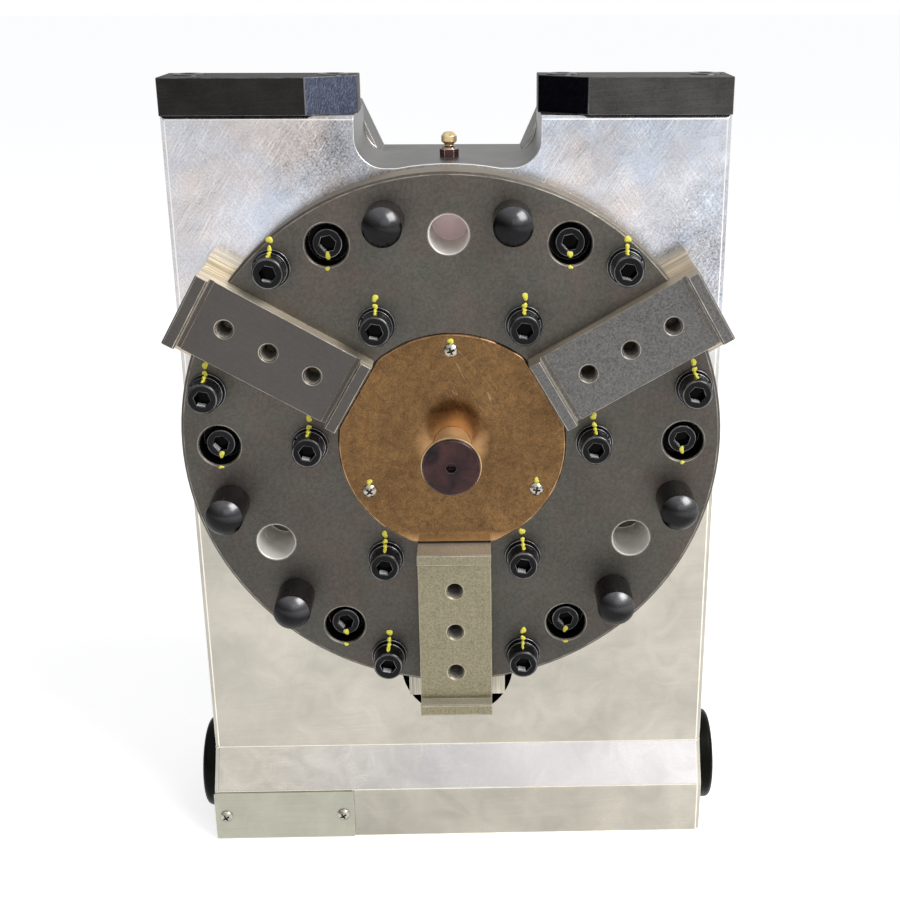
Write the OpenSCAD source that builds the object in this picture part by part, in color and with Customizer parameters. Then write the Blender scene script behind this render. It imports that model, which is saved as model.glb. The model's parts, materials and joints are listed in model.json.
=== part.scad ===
// Three jaw centric gripper with a pneumatic wedge-hook drive, standing on its foot.
// Millimetres, +Z up, the gripping face looks towards -Y, and the origin is in the middle
// of the footprint, on the ground. The modules draw in the gripper's own frame instead:
// its z runs along the gripping axis, z = 0 is the front of the face plate, z grows
// towards the front, and y points up. Every jaw is drawn along x and turned into place.

/* [Face plate] */
// Diameter of the round face plate
plate_d = 230; // [224:1:236]
// Thickness of the face plate
plate_t = 16; // [15:0.5:20]
// Thickness of the front lip that holds the jaw flanges
lip_t = 6; // [5.5:0.5:8]
// Bevel on the plate's front edge
plate_bevel = 1.2; // [0.4:0.1:2]
// Diameter of the three plain through holes
plain_hole_d = 16; // [10:0.5:18]
// Radius on which the plain holes lie
plain_hole_r = 89.7; // [86:0.1:92]
// Depth of the plain holes in the housing behind the plate
plain_hole_depth = 14; // [8:1:45]

/* [Screws of the face plate] */
// Thread size of the plate's socket screws
screw_d = 8; // [6:1:8]
// Distance of the clamping screws from a jaw's centre line
clamp_side = 30; // [29.5:0.5:32]
// Distance of the inner clamping screws from the axis, along the jaw
clamp_in = 52.6; // [50:0.1:60]
// Distance of the outer clamping screws from the axis, along the jaw
clamp_out = 100.7; // [90:0.1:101]
// Outer diameter of the flat washers
washer_d = 16; // [14:0.5:17]
// Thickness of the flat washers
washer_t = 1.6; // [1:0.1:2.5]
// Thickness of the spring washers
spring_washer_t = 2; // [1.5:0.1:3]
// Radius on which the recessed screws lie
recess_r = 98.9; // [90:0.1:102]
// Diameter of the counterbores
recess_d = 17.4; // [15:0.1:19]
// Depth of the recessed heads' seats below the face
recess_depth = 11; // [9:0.5:13]
// Length of thread in the housing
thread_depth = 20; // [14:1:22]

/* [Rest pins] */
// Diameter of the domed rest pins
pin_d = 16; // [12:0.5:18]
// Height of a rest pin's cylinder above the face
pin_h = 18; // [10:0.5:25]
// Radius of the dome on a rest pin
pin_dome_r = 10; // [9.5:0.5:20]
// Radius on which the rest pins lie
pin_ring_r = 99.2; // [94:0.1:102]
// Angle from the middle of a sector to each of its two pins
pin_spread = 15; // [12:0.5:17]

/* [Centre cover and plunger] */
// Diameter of the bronze cover
cover_d = 97; // [92:1:97]
// Thickness of the bronze cover
cover_t = 6; // [5:0.5:8]
// Height of the cover's face above the plate
cover_proud = 1; // [0.5:0.1:2]
// Gap between a cover flat and the closed jaw
flat_gap = 1.3; // [0.6:0.1:2]
// Radius on which the cover's small screws lie
cover_screw_r = 41.5; // [36:0.5:42]
// Diameter of the plunger's stem
stem_d = 16; // [12:0.5:18]
// Height of the plunger's tip above the face
plunger_h = 30; // [24:0.5:40]
// Diameter of the plunger's cap
cap_d = 24; // [20:0.5:28]
// Thickness of the plunger's cap
cap_t = 2; // [1.5:0.1:3]
// Thread size of the cap's shank
cap_thread_d = 6; // [5:0.5:8]
// Length of the cap's shank
cap_thread = 13; // [8:0.5:16]
// Thickness of the brass flange behind the cap
stem_flange_t = 2; // [1.5:0.1:3]
// Travel of the plunger
plunger_stroke = 6; // [2:0.5:8]

/* [Jaws] */
// Distance from the axis to the closed jaw's inner end
jaw_in = 46.3; // [46:0.1:48]
// Length of a jaw
jaw_len = 79; // [77:1:84]
// Width of a jaw
jaw_w = 32; // [28:0.5:34]
// Height of the jaw's seat face above the plate
seat_h = 8; // [6:0.5:12]
// Height of the lips above the seat face
jaw_lip_h = 5; // [3:0.5:7]
// Width of the lips
jaw_lip_w = 5.5; // [4:0.5:8]
// Width of the relief groove beside each lip
relief_w = 2; // [1:0.5:3]
// Depth of the relief groove beside each lip
relief_depth = 0.8; // [0.4:0.1:1.5]
// Width over the jaw's guide flanges
flange_w = 44; // [40:0.5:45]
// Width of the root behind the flanges
root_w = 30; // [26:0.5:31]
// Depth of the root behind the face plate
root_depth = 30; // [26:0.5:32]
// Distance from the axis to the closed root's outer end
root_out = 96; // [88:0.5:97]
// Distance from the jaw's inner end to its first tapped hole
jaw_hole_in = 19.6; // [16:0.1:22]
// Pitch of the tapped holes
jaw_hole_pitch = 20; // [16:0.5:22]
// Core diameter of the tapped holes
jaw_hole_d = 6.8; // [4.2:0.1:8.5]
// Depth of the tapped holes
jaw_hole_depth = 24; // [14:1:30]

/* [Wedge drive] */
// Stroke of each jaw
jaw_stroke = 8; // [4:0.5:8]
// Jaw travel for each millimetre of piston travel
wedge_ratio = 0.8; // [0.8:0.01:0.9]
// Distance from the axis to the wedge's faces at its front
wedge_front_r = 28; // [27:0.5:29]
// Radius of the wedge's round corners
wedge_r = 42; // [40:0.5:44]
// Length of the wedge
wedge_len = 28; // [26:0.5:28]
// Width of the inclined grooves' necks
neck_w = 12; // [10:0.5:14]
// Width of the inclined grooves' heads
head_w = 20; // [18:0.5:22]
// Depth of the necks, and again of the heads
hook_step = 5; // [4:0.5:5]
// Length of a jaw's hook along the slope
hook_len = 18; // [12:0.5:18]
// Diameter of the cylinder
cylinder_d = 110; // [96:1:112]
// Thickness of the piston
piston_t = 12; // [11:0.5:13]
// Diameter of the piston rod
rod_d = 52; // [50:0.5:54]
// Width and depth of the piston seal's groove
seal_w = 4; // [3:0.5:5]

/* [Housing] */
// Width of the housing
body_w = 232; // [230:1:240]
// Depth of the housing
body_depth = 80; // [78:1:100]
// Height of the gripping axis above the ground
axis_h = 202; // [201:1:220]
// Height of the shoulders above the axis
shoulder_h = 135; // [130:1:145]
// Width of the notch between the shoulders
notch_w = 76; // [60:1:80]
// Depth of the notch below the shoulders
notch_depth = 21; // [20:0.5:27]
// Radius in the notch's corners
notch_r = 12; // [4:0.5:16]
// Width of the notch's splayed rear part at its floor
splay_floor_w = 63; // [54:1:66]
// Width of the notch's splayed rear part at the shoulders
splay_top_w = 82; // [76:1:86]
// How far the foot stands in front of the housing
foot_proud = 10; // [6:0.5:12]
// Height of the foot's upright face
foot_face_h = 26; // [25:0.5:30]
// Height of the slope above the foot
slope_h = 18; // [12:0.5:24]
// Bevel on the housing's front edges
edge_bevel = 2; // [0.5:0.5:3]
// Length of the round boss in the notch floor
boss_len = 50; // [20:1:70]
// Width of the chip pocket under the lower jaw's outer end
pocket_w = 51; // [46:0.5:51]
// Distance from the axis to the middle of that pocket's round end
pocket_mid = 116.5; // [112:0.5:119]
// Depth of the chip pocket
pocket_depth = 12; // [8:0.5:20]
// Thickness of the rear cover
rear_cover_t = 8; // [8:0.5:9]
// Width of the rear cover's rim round the cylinder
rear_rim = 20; // [19:0.5:22]
// Depth of the rear mounting threads
mount_hole_depth = 25; // [15:1:30]
// Core diameter of the rear mounting threads
mount_hole_d = 8.5; // [6.8:0.1:10.2]
// Distance between the rear mounting threads across
mount_pitch_x = 190; // [180:1:200]
// Distance between the rear mounting threads upwards
mount_pitch_z = 210; // [200:1:220]
// Distance of the air ports from the middle plane
port_x = 30; // [26:1:34]
// Gap between the rear cover and the air ports' axes
port_drop = 25; // [12:1:35]
// Depth of the air ports' threads
port_depth = 12; // [8:0.5:16]
// Core diameter of the air ports
port_d = 8.8; // [6:0.1:11.8]

/* [Outer fittings] */
// Length of a top bar
bar_len = 79; // [76:0.5:82]
// Height of a top bar
bar_h = 15; // [14:0.5:20]
// Depth of a top bar
bar_depth = 26; // [25:0.5:40]
// Length of the cut-back at a bar's inner end
bar_cut_len = 20; // [10:0.5:21]
// Depth of the cut-back at a bar's inner end
bar_cut_depth = 12; // [4:0.5:12]
// Diameter of the side caps
side_cap_d = 43; // [30:1:44]
// Height of the side caps
side_cap_h = 7; // [6:0.1:14]
// Rounding of the side caps
side_cap_round = 2.5; // [1:0.5:5]
// Length of the label plate
label_w = 66; // [50:0.5:90]
// Height of the label plate
label_h = 25; // [18:0.5:25.5]
// Pitch of the label plate's two screws
label_pitch = 55.5; // [40:0.5:58]
// Thickness of the label plate
label_t = 1; // [0.5:0.1:2]
// Diameter of the grease nipple's hexagon across its flats
nipple_af = 7; // [6:0.5:10]
// Distance of the grease nipple behind the housing's front
nipple_back = 19.5; // [12:0.5:30]

/* [Clearances] */
// Gap on each side of a sliding flat
slide_gap = 0.1; // [0.05:0.01:0.3]
// Radial gap of a running fit
run_gap = 0.05; // [0.02:0.01:0.1]
// Radial gap round a thread or a fitted pin
thread_gap = 0.1; // [0.02:0.01:0.2]
// Gap between the wedge's faces and the jaws
wedge_gap = 0.2; // [0.1:0.05:0.4]
// Gap left where a moving part stops
end_gap = 1; // [0.5:0.1:1.5]

/* [Hidden] */
$fn = 96;
jaw_angles = [30, 150, 270];
sector_angles = [90, 210, 330];
recess_angles = [for (i = [0:5]) 60 * i];

// Levels along the gripping axis
front_z = -plate_t;
rear_z = front_z - body_depth;
foot_z = front_z + foot_proud;
cover_back = cover_proud - cover_t;
piston_stroke = jaw_stroke / wedge_ratio;
wedge_open_front = front_z - end_gap / 2;
wedge_front = wedge_open_front - piston_stroke;
wedge_rear = wedge_front - wedge_len;
cavity_floor = wedge_rear - 1.5 * end_gap;
chamber_floor = rear_z + rear_cover_t;
piston_rear = chamber_floor + end_gap;
piston_front = piston_rear + piston_t;
wall_rear = piston_front + piston_stroke + end_gap;
root_z = front_z - root_depth;
front_reach = plunger_h;
face_y = (front_reach + rear_z) / 2;

// Wedge geometry
wedge_angle = atan(wedge_ratio);
hook_z = (wedge_open_front + wedge_rear) / 2;
hook_r = wedge_front_r + wedge_ratio * (wedge_front - hook_z);
cavity_r = wedge_r + 3.5;
wedge_bore_r = 12;
sleeve_r = wedge_bore_r - 1;
collar_r = sleeve_r - 2;
sleeve_flange_r = 17;
sleeve_flange_t = 3;
sleeve_end = wedge_rear + piston_stroke + 1.5 * end_gap;
sleeve_floor_t = 3;
collar_t = 4;
piston_bolt_d = 6;
piston_bolt_r = (wedge_bore_r + rod_d / 2) / 2;
bush_wall = 4;
seal_len = 3;

// Jaws
jaw_out = jaw_in + jaw_len;
lip_top = seat_h + jaw_lip_h;
jaw_bevel = 0.6;

// Screws
washer_stack = washer_t + spring_washer_t;
hole_gap = 0.5;
rim_bevel = 0.6;
thread_end = 1;
cover_screw_d = 3;
cover_thread = 7;
rear_screw_d = 5;
rear_thread = 10;
bolt_thread = 10;
rear_cover_d = cylinder_d + 2 * rear_rim;
rear_screw_r = cylinder_d / 2 + 0.6 * rear_rim;
rear_screw_count = 8;
bar_screw_d = 8;
bar_thread = 14;
bar_screw_proud = 0.5;
bar_screw_inset = 10;
bar_in = body_w / 2 - bar_len;
bar_screw_x = [bar_in + bar_screw_inset, body_w / 2 - bar_screw_inset];
bar_screw_z = front_z - bar_depth / 2 - 2.5;
label_screw_d = 3;
label_thread = 7;
label_screw_inset = (label_w - label_pitch) / 2;
label_lift = 0.5;
side_cap_y = -axis_h + side_cap_d / 2 + 3;
side_cap_z = foot_z - side_cap_d / 2 - 8.5;
side_cap_screw_d = 8;
side_cap_thread = 14;
dowel_d = 8;
dowel_r = (cover_d / 2 + plain_hole_r - plain_hole_d / 2) / 2;
dowel_in_plate = 8;
dowel_in_body = 12;
nipple_z = front_z - nipple_back;
nipple_thread_d = 6;
nipple_thread = 8;
boss_d = body_w;
notch_floor = shoulder_h - notch_depth;
nipple_foot = max(boss_d / 2, notch_floor);
port_y = -rear_cover_d / 2 - port_drop;
drill_r = 2;
cap_key = 4;
spring_wire = 1.6;
spring_turns = 7;

// ---- frames and patterns ----------------------------------------------------------

// Puts what is drawn in the gripper's frame into its place on the ground
module gripper_frame() {
  translate([0, face_y, axis_h]) rotate([90, 0, 0]) children();
}

// Repeats around the axis, with x pointing outwards
module around(angles) {
  for (a = angles) rotate([0, 0, a]) children();
}

// The places of the twelve clamping screws, two on each side of each jaw
module at_clamps() {
  around(jaw_angles)
    for (x = [clamp_in, clamp_out], side = [-1, 1]) translate([x, side * clamp_side, 0]) children();
}

// The places of the six recessed screws
module at_recesses() {
  around(recess_angles) translate([recess_r, 0, 0]) children();
}

// The places of the six rest pins
module at_pins() {
  around(sector_angles)
    for (side = [-1, 1]) rotate([0, 0, side * pin_spread]) translate([pin_ring_r, 0, 0]) children();
}

// The places of the four top bar screws, on the shoulders
module at_bar_screws(sides = [-1, 1]) {
  for (side = sides, x = bar_screw_x)
    translate([side * x, shoulder_h + bar_h, bar_screw_z]) rotate([-90, 0, 0]) children();
}

// The places of the two label screws, on the foot's face
module at_label_screws() {
  for (x = [label_screw_inset, label_w - label_screw_inset])
    translate([x - body_w / 2, label_h / 2 + label_lift - axis_h, foot_z + label_t]) children();
}

// Extrudes an outline drawn in (z, y) across the width
module across(width) {
  rotate([0, -90, 0]) linear_extrude(width, center = true) children();
}

// The frame on a wedge face: x leaves the wedge square to the face, z runs up the slope
module on_slope() {
  translate([hook_r, 0, hook_z]) rotate([0, -wedge_angle, 0]) children();
}

// ---- fasteners --------------------------------------------------------------------

function socket_head_d(d) = 1.5 * d + 1;
function hexagon_af(d) = d > 6 ? d - 2 : d - 1;

// Socket head cap screw: the head sits on z = 0 and the thread runs down
module socket_screw(d, length) {
  head_r = socket_head_d(d) / 2;
  bevel = 0.07 * d;
  difference() {
    rotate_extrude() polygon([[0, -length], [d / 2 - bevel, -length], [d / 2, bevel - length],
      [d / 2, 0], [head_r, 0], [head_r, d - bevel], [head_r - bevel, d], [0, d]]);
    translate([0, 0, d / 2]) cylinder(d = hexagon_af(d) / cos(30), h = d, $fn = 6);
  }
}

// Cross-head pan screw: the head sits on z = 0 and the thread runs down
module pan_screw(d, length) {
  head_r = d;
  head_h = 0.65 * d;
  slot_w = 0.3 * d;
  dome_r = (head_r * head_r + head_h * head_h) / (2 * head_h);
  difference() {
    union() {
      intersection() {
        cylinder(r = head_r, h = head_h);
        translate([0, 0, head_h - dome_r * 1.2]) sphere(r = dome_r * 1.2);
      }
      translate([0, 0, -length]) cylinder(d = d, h = length + head_h / 3);
    }
    for (turn = [0, 90])
      rotate([0, 0, turn]) translate([-0.55 * d, -slot_w / 2, head_h / 2]) cube([1.1 * d, slot_w, head_h]);
  }
}

module ring(outer_r, inner_r, height) {
  difference() {
    cylinder(r = outer_r, h = height);
    translate([0, 0, -1]) cylinder(r = inner_r, h = height + 2);
  }
}

// ---- housing ----------------------------------------------------------------------

// Outline of the notch between the shoulders, rounded in its lower corners
module notch_outline() {
  half = notch_w / 2;
  top = shoulder_h - notch_floor + 1;
  translate([0, notch_floor]) {
    translate([-half, notch_r]) square([notch_w, top - notch_r]);
    translate([notch_r - half, 0]) square([notch_w - 2 * notch_r, top]);
    for (side = [-1, 1]) translate([side * (half - notch_r), notch_r]) circle(notch_r);
  }
}

// Outline of the notch's rear part, which widens towards the top
module splay_outline() {
  rise = shoulder_h - notch_floor;
  flare = (splay_top_w - splay_floor_w) / 2 / rise;
  floor_half = splay_floor_w / 2;
  top_half = floor_half + flare * (rise + 1);
  polygon([[-floor_half, notch_floor], [floor_half, notch_floor], [top_half, shoulder_h + 1],
    [-top_half, shoulder_h + 1]]);
}

// Bevel along one stretch of the side edges, between two points given as [z, y]
module side_bevel(from, to) {
  length = norm(to - from);
  tilt = atan2(to[0] - from[0], to[1] - from[1]);
  thickness = edge_bevel * sqrt(2);
  for (side = [-1, 1])
    translate([side * body_w / 2, from[1], from[0]]) rotate([tilt, 0, 0])
      translate([0, length / 2, 0]) rotate([0, 45, 0]) cube([thickness, length, thickness], center = true);
}

// Bevel along the front top edge of each shoulder
module shoulder_bevel() {
  thickness = 1.5 * sqrt(2);
  for (side = [-1, 1])
    translate([side * (body_w + notch_w) / 4, shoulder_h, front_z]) rotate([45, 0, 0])
      cube([(body_w - notch_w) / 2 + 2, thickness, thickness], center = true);
}

// Block with the foot in front, the notch on top and the round boss in its floor
module housing_block() {
  ridge = [front_z, slope_h + foot_face_h - axis_h];
  toe = [foot_z, foot_face_h - axis_h];
  sole = [foot_z, -axis_h];
  crest = [front_z, shoulder_h];
  difference() {
    across(body_w) polygon([[rear_z, -axis_h], sole, toe, ridge, crest, [rear_z, shoulder_h]]);
    translate([0, 0, front_z - boss_len]) linear_extrude(boss_len + 1) notch_outline();
    translate([0, 0, rear_z - 1]) linear_extrude(body_depth - boss_len + 1) splay_outline();
    side_bevel(sole - [0, 1], toe);
    side_bevel(toe, ridge);
    side_bevel(ridge, crest + [0, 1]);
    shoulder_bevel();
  }
  translate([0, 0, front_z - boss_len]) cylinder(d = boss_d, h = boss_len, $fn = 180);
}

// Slot in which one jaw's root slides
module root_slot() {
  slot_w = root_w + 2 * slide_gap;
  slot_out = root_out + jaw_stroke + end_gap;
  translate([0, -slot_w / 2, root_z - 0.5]) cube([slot_out, slot_w, root_depth + 1.5]);
}

// Chip pocket with a round end, open towards the front below the lower jaw
module chip_pocket() {
  start = root_out;
  translate([0, 0, front_z - pocket_depth]) linear_extrude(pocket_depth + 1) {
    translate([-pocket_w / 2, -pocket_mid]) square([pocket_w, pocket_mid - start]);
    translate([0, -pocket_mid]) circle(d = pocket_w);
  }
}

// Air port from the rear, with a drilling at the given level up into the cylinder
module air_port(x, level) {
  feed_r = drill_r + 0.5;
  translate([x, port_y, rear_z - 1]) {
    cylinder(d = port_d, h = port_depth + 1);
    cylinder(r = feed_r, h = level + feed_r - rear_z + 1);
  }
  translate([x, port_y, level]) rotate([-90, 0, 0]) cylinder(r = drill_r, h = -port_y - cylinder_d / 3);
}

module housing() {
  thread_r = screw_d / 2 + thread_gap;
  color("gainsboro") gripper_frame() difference() {
    housing_block();
    // wedge room, rod passage, cylinder and rear cover seat, one behind the other
    translate([0, 0, cavity_floor]) cylinder(r = cavity_r, h = front_z - cavity_floor + 1);
    translate([0, 0, wall_rear - 1]) cylinder(d = rod_d + 2 * run_gap + 2 * bush_wall, h = body_depth / 2);
    translate([0, 0, rear_z + 1]) cylinder(d = cylinder_d, h = wall_rear - rear_z - 1);
    translate([0, 0, rear_z - 1]) cylinder(d = rear_cover_d + 2 * thread_gap, h = rear_cover_t + 1);
    translate([0, 0, chamber_floor]) rear_seal_groove();
    around(jaw_angles) root_slot();
    chip_pocket();
    translate([0, 0, front_z - thread_depth]) {
      at_clamps() cylinder(r = thread_r, h = thread_depth + 1);
      at_recesses() cylinder(r = thread_r, h = thread_depth + 1);
    }
    around(sector_angles) translate([plain_hole_r, 0, front_z - plain_hole_depth])
      cylinder(d = plain_hole_d, h = plain_hole_depth + 1);
    around([sector_angles[0], sector_angles[1]]) translate([dowel_r, 0, front_z - dowel_in_body])
      cylinder(r = dowel_d / 2 + thread_gap, h = dowel_in_body + 1);
    translate([0, 0, chamber_floor - 1]) rear_screw_places()
      cylinder(r = rear_screw_d / 2 + thread_gap, h = rear_thread + thread_end + 1);
    for (x = [-1, 1], y = [-1, 1]) translate([x * mount_pitch_x / 2, y * mount_pitch_z / 2, rear_z - 1])
      cylinder(d = mount_hole_d, h = mount_hole_depth + 1);
    air_port(-port_x, chamber_floor + drill_r + 0.5);
    air_port(port_x, wall_rear - drill_r - 0.5);
    at_bar_screws() translate([0, 0, -bar_h - bar_thread - thread_end])
      cylinder(r = bar_screw_d / 2 + thread_gap, h = bar_thread + bar_h);
    at_label_screws() translate([0, 0, -label_t - label_thread - thread_end])
      cylinder(r = label_screw_d / 2 + thread_gap, h = 2 * label_thread);
    for (side = [-1, 1])
      translate([side * body_w / 2, side_cap_y, side_cap_z]) rotate([0, -side * 90, 0])
        translate([0, 0, -1]) cylinder(r = side_cap_screw_d / 2 + thread_gap, h = side_cap_thread + 1 + thread_end);
    translate([0, nipple_foot, nipple_z]) rotate([90, 0, 0])
      translate([0, 0, -1]) cylinder(r = nipple_thread_d / 2 + thread_gap, h = nipple_thread + 1 + thread_end);
  }
}

// ---- face plate -------------------------------------------------------------------

// Slot of one jaw: narrow through the front lip, wide behind it, open at the rim
module jaw_slot() {
  front_w = jaw_w + 2 * slide_gap;
  rear_w = flange_w + 2 * slide_gap;
  start = jaw_in - slide_gap;
  translate([start, -front_w / 2, front_z - 1]) cube([plate_d, front_w, plate_t + 2]);
  translate([start, -rear_w / 2, front_z - 1]) cube([plate_d, rear_w, plate_t - lip_t + 1]);
}

// Bevel round the mouth of a hole in the face, at z = 0
module rim(hole_d) {
  translate([0, 0, -rim_bevel]) cylinder(d1 = hole_d, d2 = hole_d + 4 * rim_bevel, h = 2 * rim_bevel);
}

module face_plate() {
  r = plate_d / 2;
  color("#6b6560") gripper_frame() difference() {
    rotate_extrude($fn = 180) polygon([[0, front_z], [r - 0.4, front_z], [r, front_z + 0.4],
      [r, -plate_bevel], [r - plate_bevel, 0], [0, 0]]);
    around(jaw_angles) jaw_slot();
    // seat of the cover, and below it the seat of the plunger's sleeve
    translate([0, 0, cover_back]) cylinder(d = cover_d + 2 * slide_gap, h = cover_t);
    translate([0, 0, cover_back - sleeve_flange_t])
      cylinder(r = sleeve_flange_r + thread_gap, h = plate_t);
    translate([0, 0, front_z - 1]) cylinder(r = sleeve_r + thread_gap, h = plate_t);
    around(sector_angles) translate([cover_screw_r, 0, cover_back - cover_thread - thread_end])
      cylinder(r = cover_screw_d / 2 + thread_gap, h = cover_thread + cover_t);
    translate([0, 0, front_z - 1]) {
      at_clamps() cylinder(r = (screw_d + hole_gap) / 2, h = plate_t + 2);
      at_recesses() cylinder(r = (screw_d + hole_gap) / 2, h = plate_t + 2);
      around(sector_angles) translate([plain_hole_r, 0, 0]) cylinder(d = plain_hole_d, h = plate_t + 2);
    }
    translate([0, 0, -recess_depth]) at_recesses() cylinder(d = recess_d, h = recess_depth + 1);
    at_recesses() rim(recess_d);
    around(sector_angles) translate([plain_hole_r, 0, 0]) rim(plain_hole_d);
    translate([0, 0, -pin_shank_h()]) at_pins() cylinder(r = pin_shank_r() + thread_gap, h = plate_t);
    around([sector_angles[0], sector_angles[1]]) translate([dowel_r, 0, front_z - 1])
      cylinder(r = dowel_d / 2 + thread_gap, h = dowel_in_plate + 1);
  }
}

// ---- centre cover and plunger -----------------------------------------------------

module centre_cover() {
  bevel = 0.5;
  r = cover_d / 2;
  flat = jaw_in - flat_gap;
  color("#8a6238") gripper_frame() difference() {
    rotate_extrude($fn = 180) polygon([[0, cover_back], [r, cover_back], [r, cover_proud - bevel],
      [r - bevel, cover_proud], [0, cover_proud]]);
    around(jaw_angles) translate([flat, -r, cover_back - 1]) cube([r, 2 * r, cover_t + 2]);
    translate([0, 0, cover_back - 1]) cylinder(r = stem_d / 2 + slide_gap, h = cover_t + 2);
    around(sector_angles) translate([cover_screw_r, 0, cover_back - 1])
      cylinder(r = cover_screw_d / 2 + thread_gap, h = cover_t + 2);
  }
}

module cover_screws() {
  color("silver") gripper_frame() around(sector_angles)
    translate([cover_screw_r, 0, cover_proud]) rotate([0, 0, 20]) pan_screw(cover_screw_d, cover_t + cover_thread);
}

// Stem with a collar that stops under the cover and two turned grooves
module plunger_stem() {
  r = stem_d / 2;
  groove = 0.6;
  neck_z = 0.45 * plunger_h;
  top = plunger_h - cap_t - stem_flange_t;
  collar_top = cover_back - slide_gap;
  color("#b08d4c") gripper_frame() difference() {
    rotate_extrude() polygon([[0, collar_top - collar_t], [collar_r, collar_top - collar_t],
      [collar_r, collar_top], [r, collar_top], [r, neck_z], [r - groove, neck_z + groove],
      [r, neck_z + 2 * groove], [r, top - 3 * groove], [r - 1.5 * groove, top - 2 * groove],
      [r - 1.5 * groove, top], [0, top]]);
    translate([0, 0, top + stem_flange_t - cap_thread - thread_end])
      cylinder(r = cap_thread_d / 2 + thread_gap, h = 2 * cap_thread);
  }
}

module plunger_flange() {
  color("#c9a45c") gripper_frame() translate([0, 0, plunger_h - cap_t - stem_flange_t])
    ring(cap_d / 2 + 0.4, cap_thread_d / 2 + thread_gap, stem_flange_t);
}

module plunger_cap() {
  r = cap_d / 2;
  bevel = 0.4;
  top = plunger_h;
  back = plunger_h - cap_t;
  color("#2a2426") gripper_frame() difference() {
    rotate_extrude() polygon([[0, back - cap_thread], [cap_thread_d / 2, back - cap_thread],
      [cap_thread_d / 2, back], [r, back], [r, top - bevel], [r - bevel, top], [0, top]]);
    translate([0, 0, back - cap_t]) cylinder(d = cap_key / cos(30), h = 3 * cap_t, $fn = 6);
  }
}

// Cup that guides the plunger's collar and holds its spring
module plunger_sleeve() {
  bore_r = collar_r + run_gap;
  color("#a9a9a9") gripper_frame() rotate_extrude() polygon([[2, sleeve_end], [sleeve_r, sleeve_end],
    [sleeve_r, cover_back - sleeve_flange_t], [sleeve_flange_r, cover_back - sleeve_flange_t],
    [sleeve_flange_r, cover_back], [bore_r, cover_back], [bore_r, sleeve_end + sleeve_floor_t],
    [2, sleeve_end + sleeve_floor_t]]);
}

// One point of the spring's wire skin: turn is the angle along the coil, a round the wire
function coil_point(turn, a, coil_r, start, rise) =
  let (r = coil_r + spring_wire / 2 * cos(a))
    [r * cos(turn), r * sin(turn), start + rise * turn / 360 + spring_wire / 2 * sin(a)];

module plunger_spring() {
  sides = 8;
  steps = 14 * spring_turns;
  start = sleeve_end + sleeve_floor_t + spring_wire / 2;
  stop = cover_back - slide_gap - collar_t - spring_wire / 2;
  coil_r = collar_r - spring_wire / 2 - 1;
  rise = (stop - start) / spring_turns;
  points = [for (i = [0:steps], j = [0:sides - 1])
    coil_point(360 * spring_turns * i / steps, 360 * j / sides, coil_r, start, rise)];
  skin = [for (i = [0:steps - 1], j = [0:sides - 1]) let (n = (j + 1) % sides)
    [i * sides + j, (i + 1) * sides + j, (i + 1) * sides + n, i * sides + n]];
  caps = [[for (j = [0:sides - 1]) j], [for (j = [sides - 1:-1:0]) steps * sides + j]];
  color("#8d8d8d") gripper_frame() polyhedron(points, concat(skin, caps));
}

// ---- jaws -------------------------------------------------------------------------

// Seat with a lip at each end, drawn as a side view in (x, z) and as wide as the jaw
module jaw_top() {
  far = jaw_len - jaw_lip_w;
  groove = seat_h - relief_depth;
  crest = lip_top - jaw_bevel;
  translate([jaw_in, jaw_w / 2, 0]) rotate([90, 0, 0]) linear_extrude(jaw_w)
    polygon([[0, -lip_t - slide_gap], [0, crest], [jaw_bevel, lip_top], [jaw_lip_w - jaw_bevel, lip_top],
      [jaw_lip_w, crest], [jaw_lip_w, groove], [jaw_lip_w + relief_w, groove],
      [jaw_lip_w + relief_w, seat_h], [far - relief_w, seat_h], [far - relief_w, groove], [far, groove],
      [far, crest], [far + jaw_bevel, lip_top], [jaw_len - jaw_bevel, lip_top], [jaw_len, crest],
      [jaw_len, -lip_t - slide_gap]]);
}

// T-shaped hook on the root's sloping end, which runs in a groove of the wedge
module jaw_hook() {
  neck = neck_w / 2 - slide_gap;
  head = head_w / 2 - slide_gap;
  on_slope() translate([0, 0, -hook_len / 2]) {
    translate([-1.5 * hook_step, -neck, 0]) cube([1.5 * hook_step + 2, 2 * neck, hook_len]);
    translate([slide_gap - 2 * hook_step, -head, 0])
      cube([hook_step - 2 * slide_gap, 2 * head, hook_len]);
  }
}

// Root behind the flanges, cut off along the wedge's face
module jaw_root() {
  half = root_w / 2;
  reach = 2 * root_depth;
  difference() {
    translate([0, -half, root_z]) cube([root_out, root_w, root_depth + slide_gap + 1]);
    on_slope() translate([wedge_gap - 2 * reach, -root_w, -2 * reach]) cube([2 * reach, 2 * root_w, 4 * reach]);
    translate([-1, -root_w, front_z - slide_gap]) cube([jaw_in + 1, 2 * root_w, root_depth]);
  }
}

module jaw(angle) {
  half = flange_w / 2;
  color("#77706a") gripper_frame() rotate([0, 0, angle]) difference() {
    union() {
      jaw_top();
      translate([jaw_in, -half, front_z + slide_gap])
        cube([jaw_len, flange_w, plate_t - lip_t - 2 * slide_gap]);
      jaw_root();
      jaw_hook();
    }
    for (i = [0:2]) translate([jaw_in + jaw_hole_in + i * jaw_hole_pitch, 0, seat_h]) {
      translate([0, 0, -jaw_hole_depth]) cylinder(d = jaw_hole_d, h = jaw_hole_depth + 1);
      translate([0, 0, -0.6]) cylinder(d1 = jaw_hole_d, d2 = jaw_hole_d + 2, h = 1);
    }
  }
}

// ---- plate fasteners and pins -----------------------------------------------------

module plate_screws() {
  color("#26262a") gripper_frame() translate([0, 0, washer_stack]) at_clamps()
    rotate([0, 0, 20]) socket_screw(screw_d, plate_t + washer_stack + thread_depth - 1);
}

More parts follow.
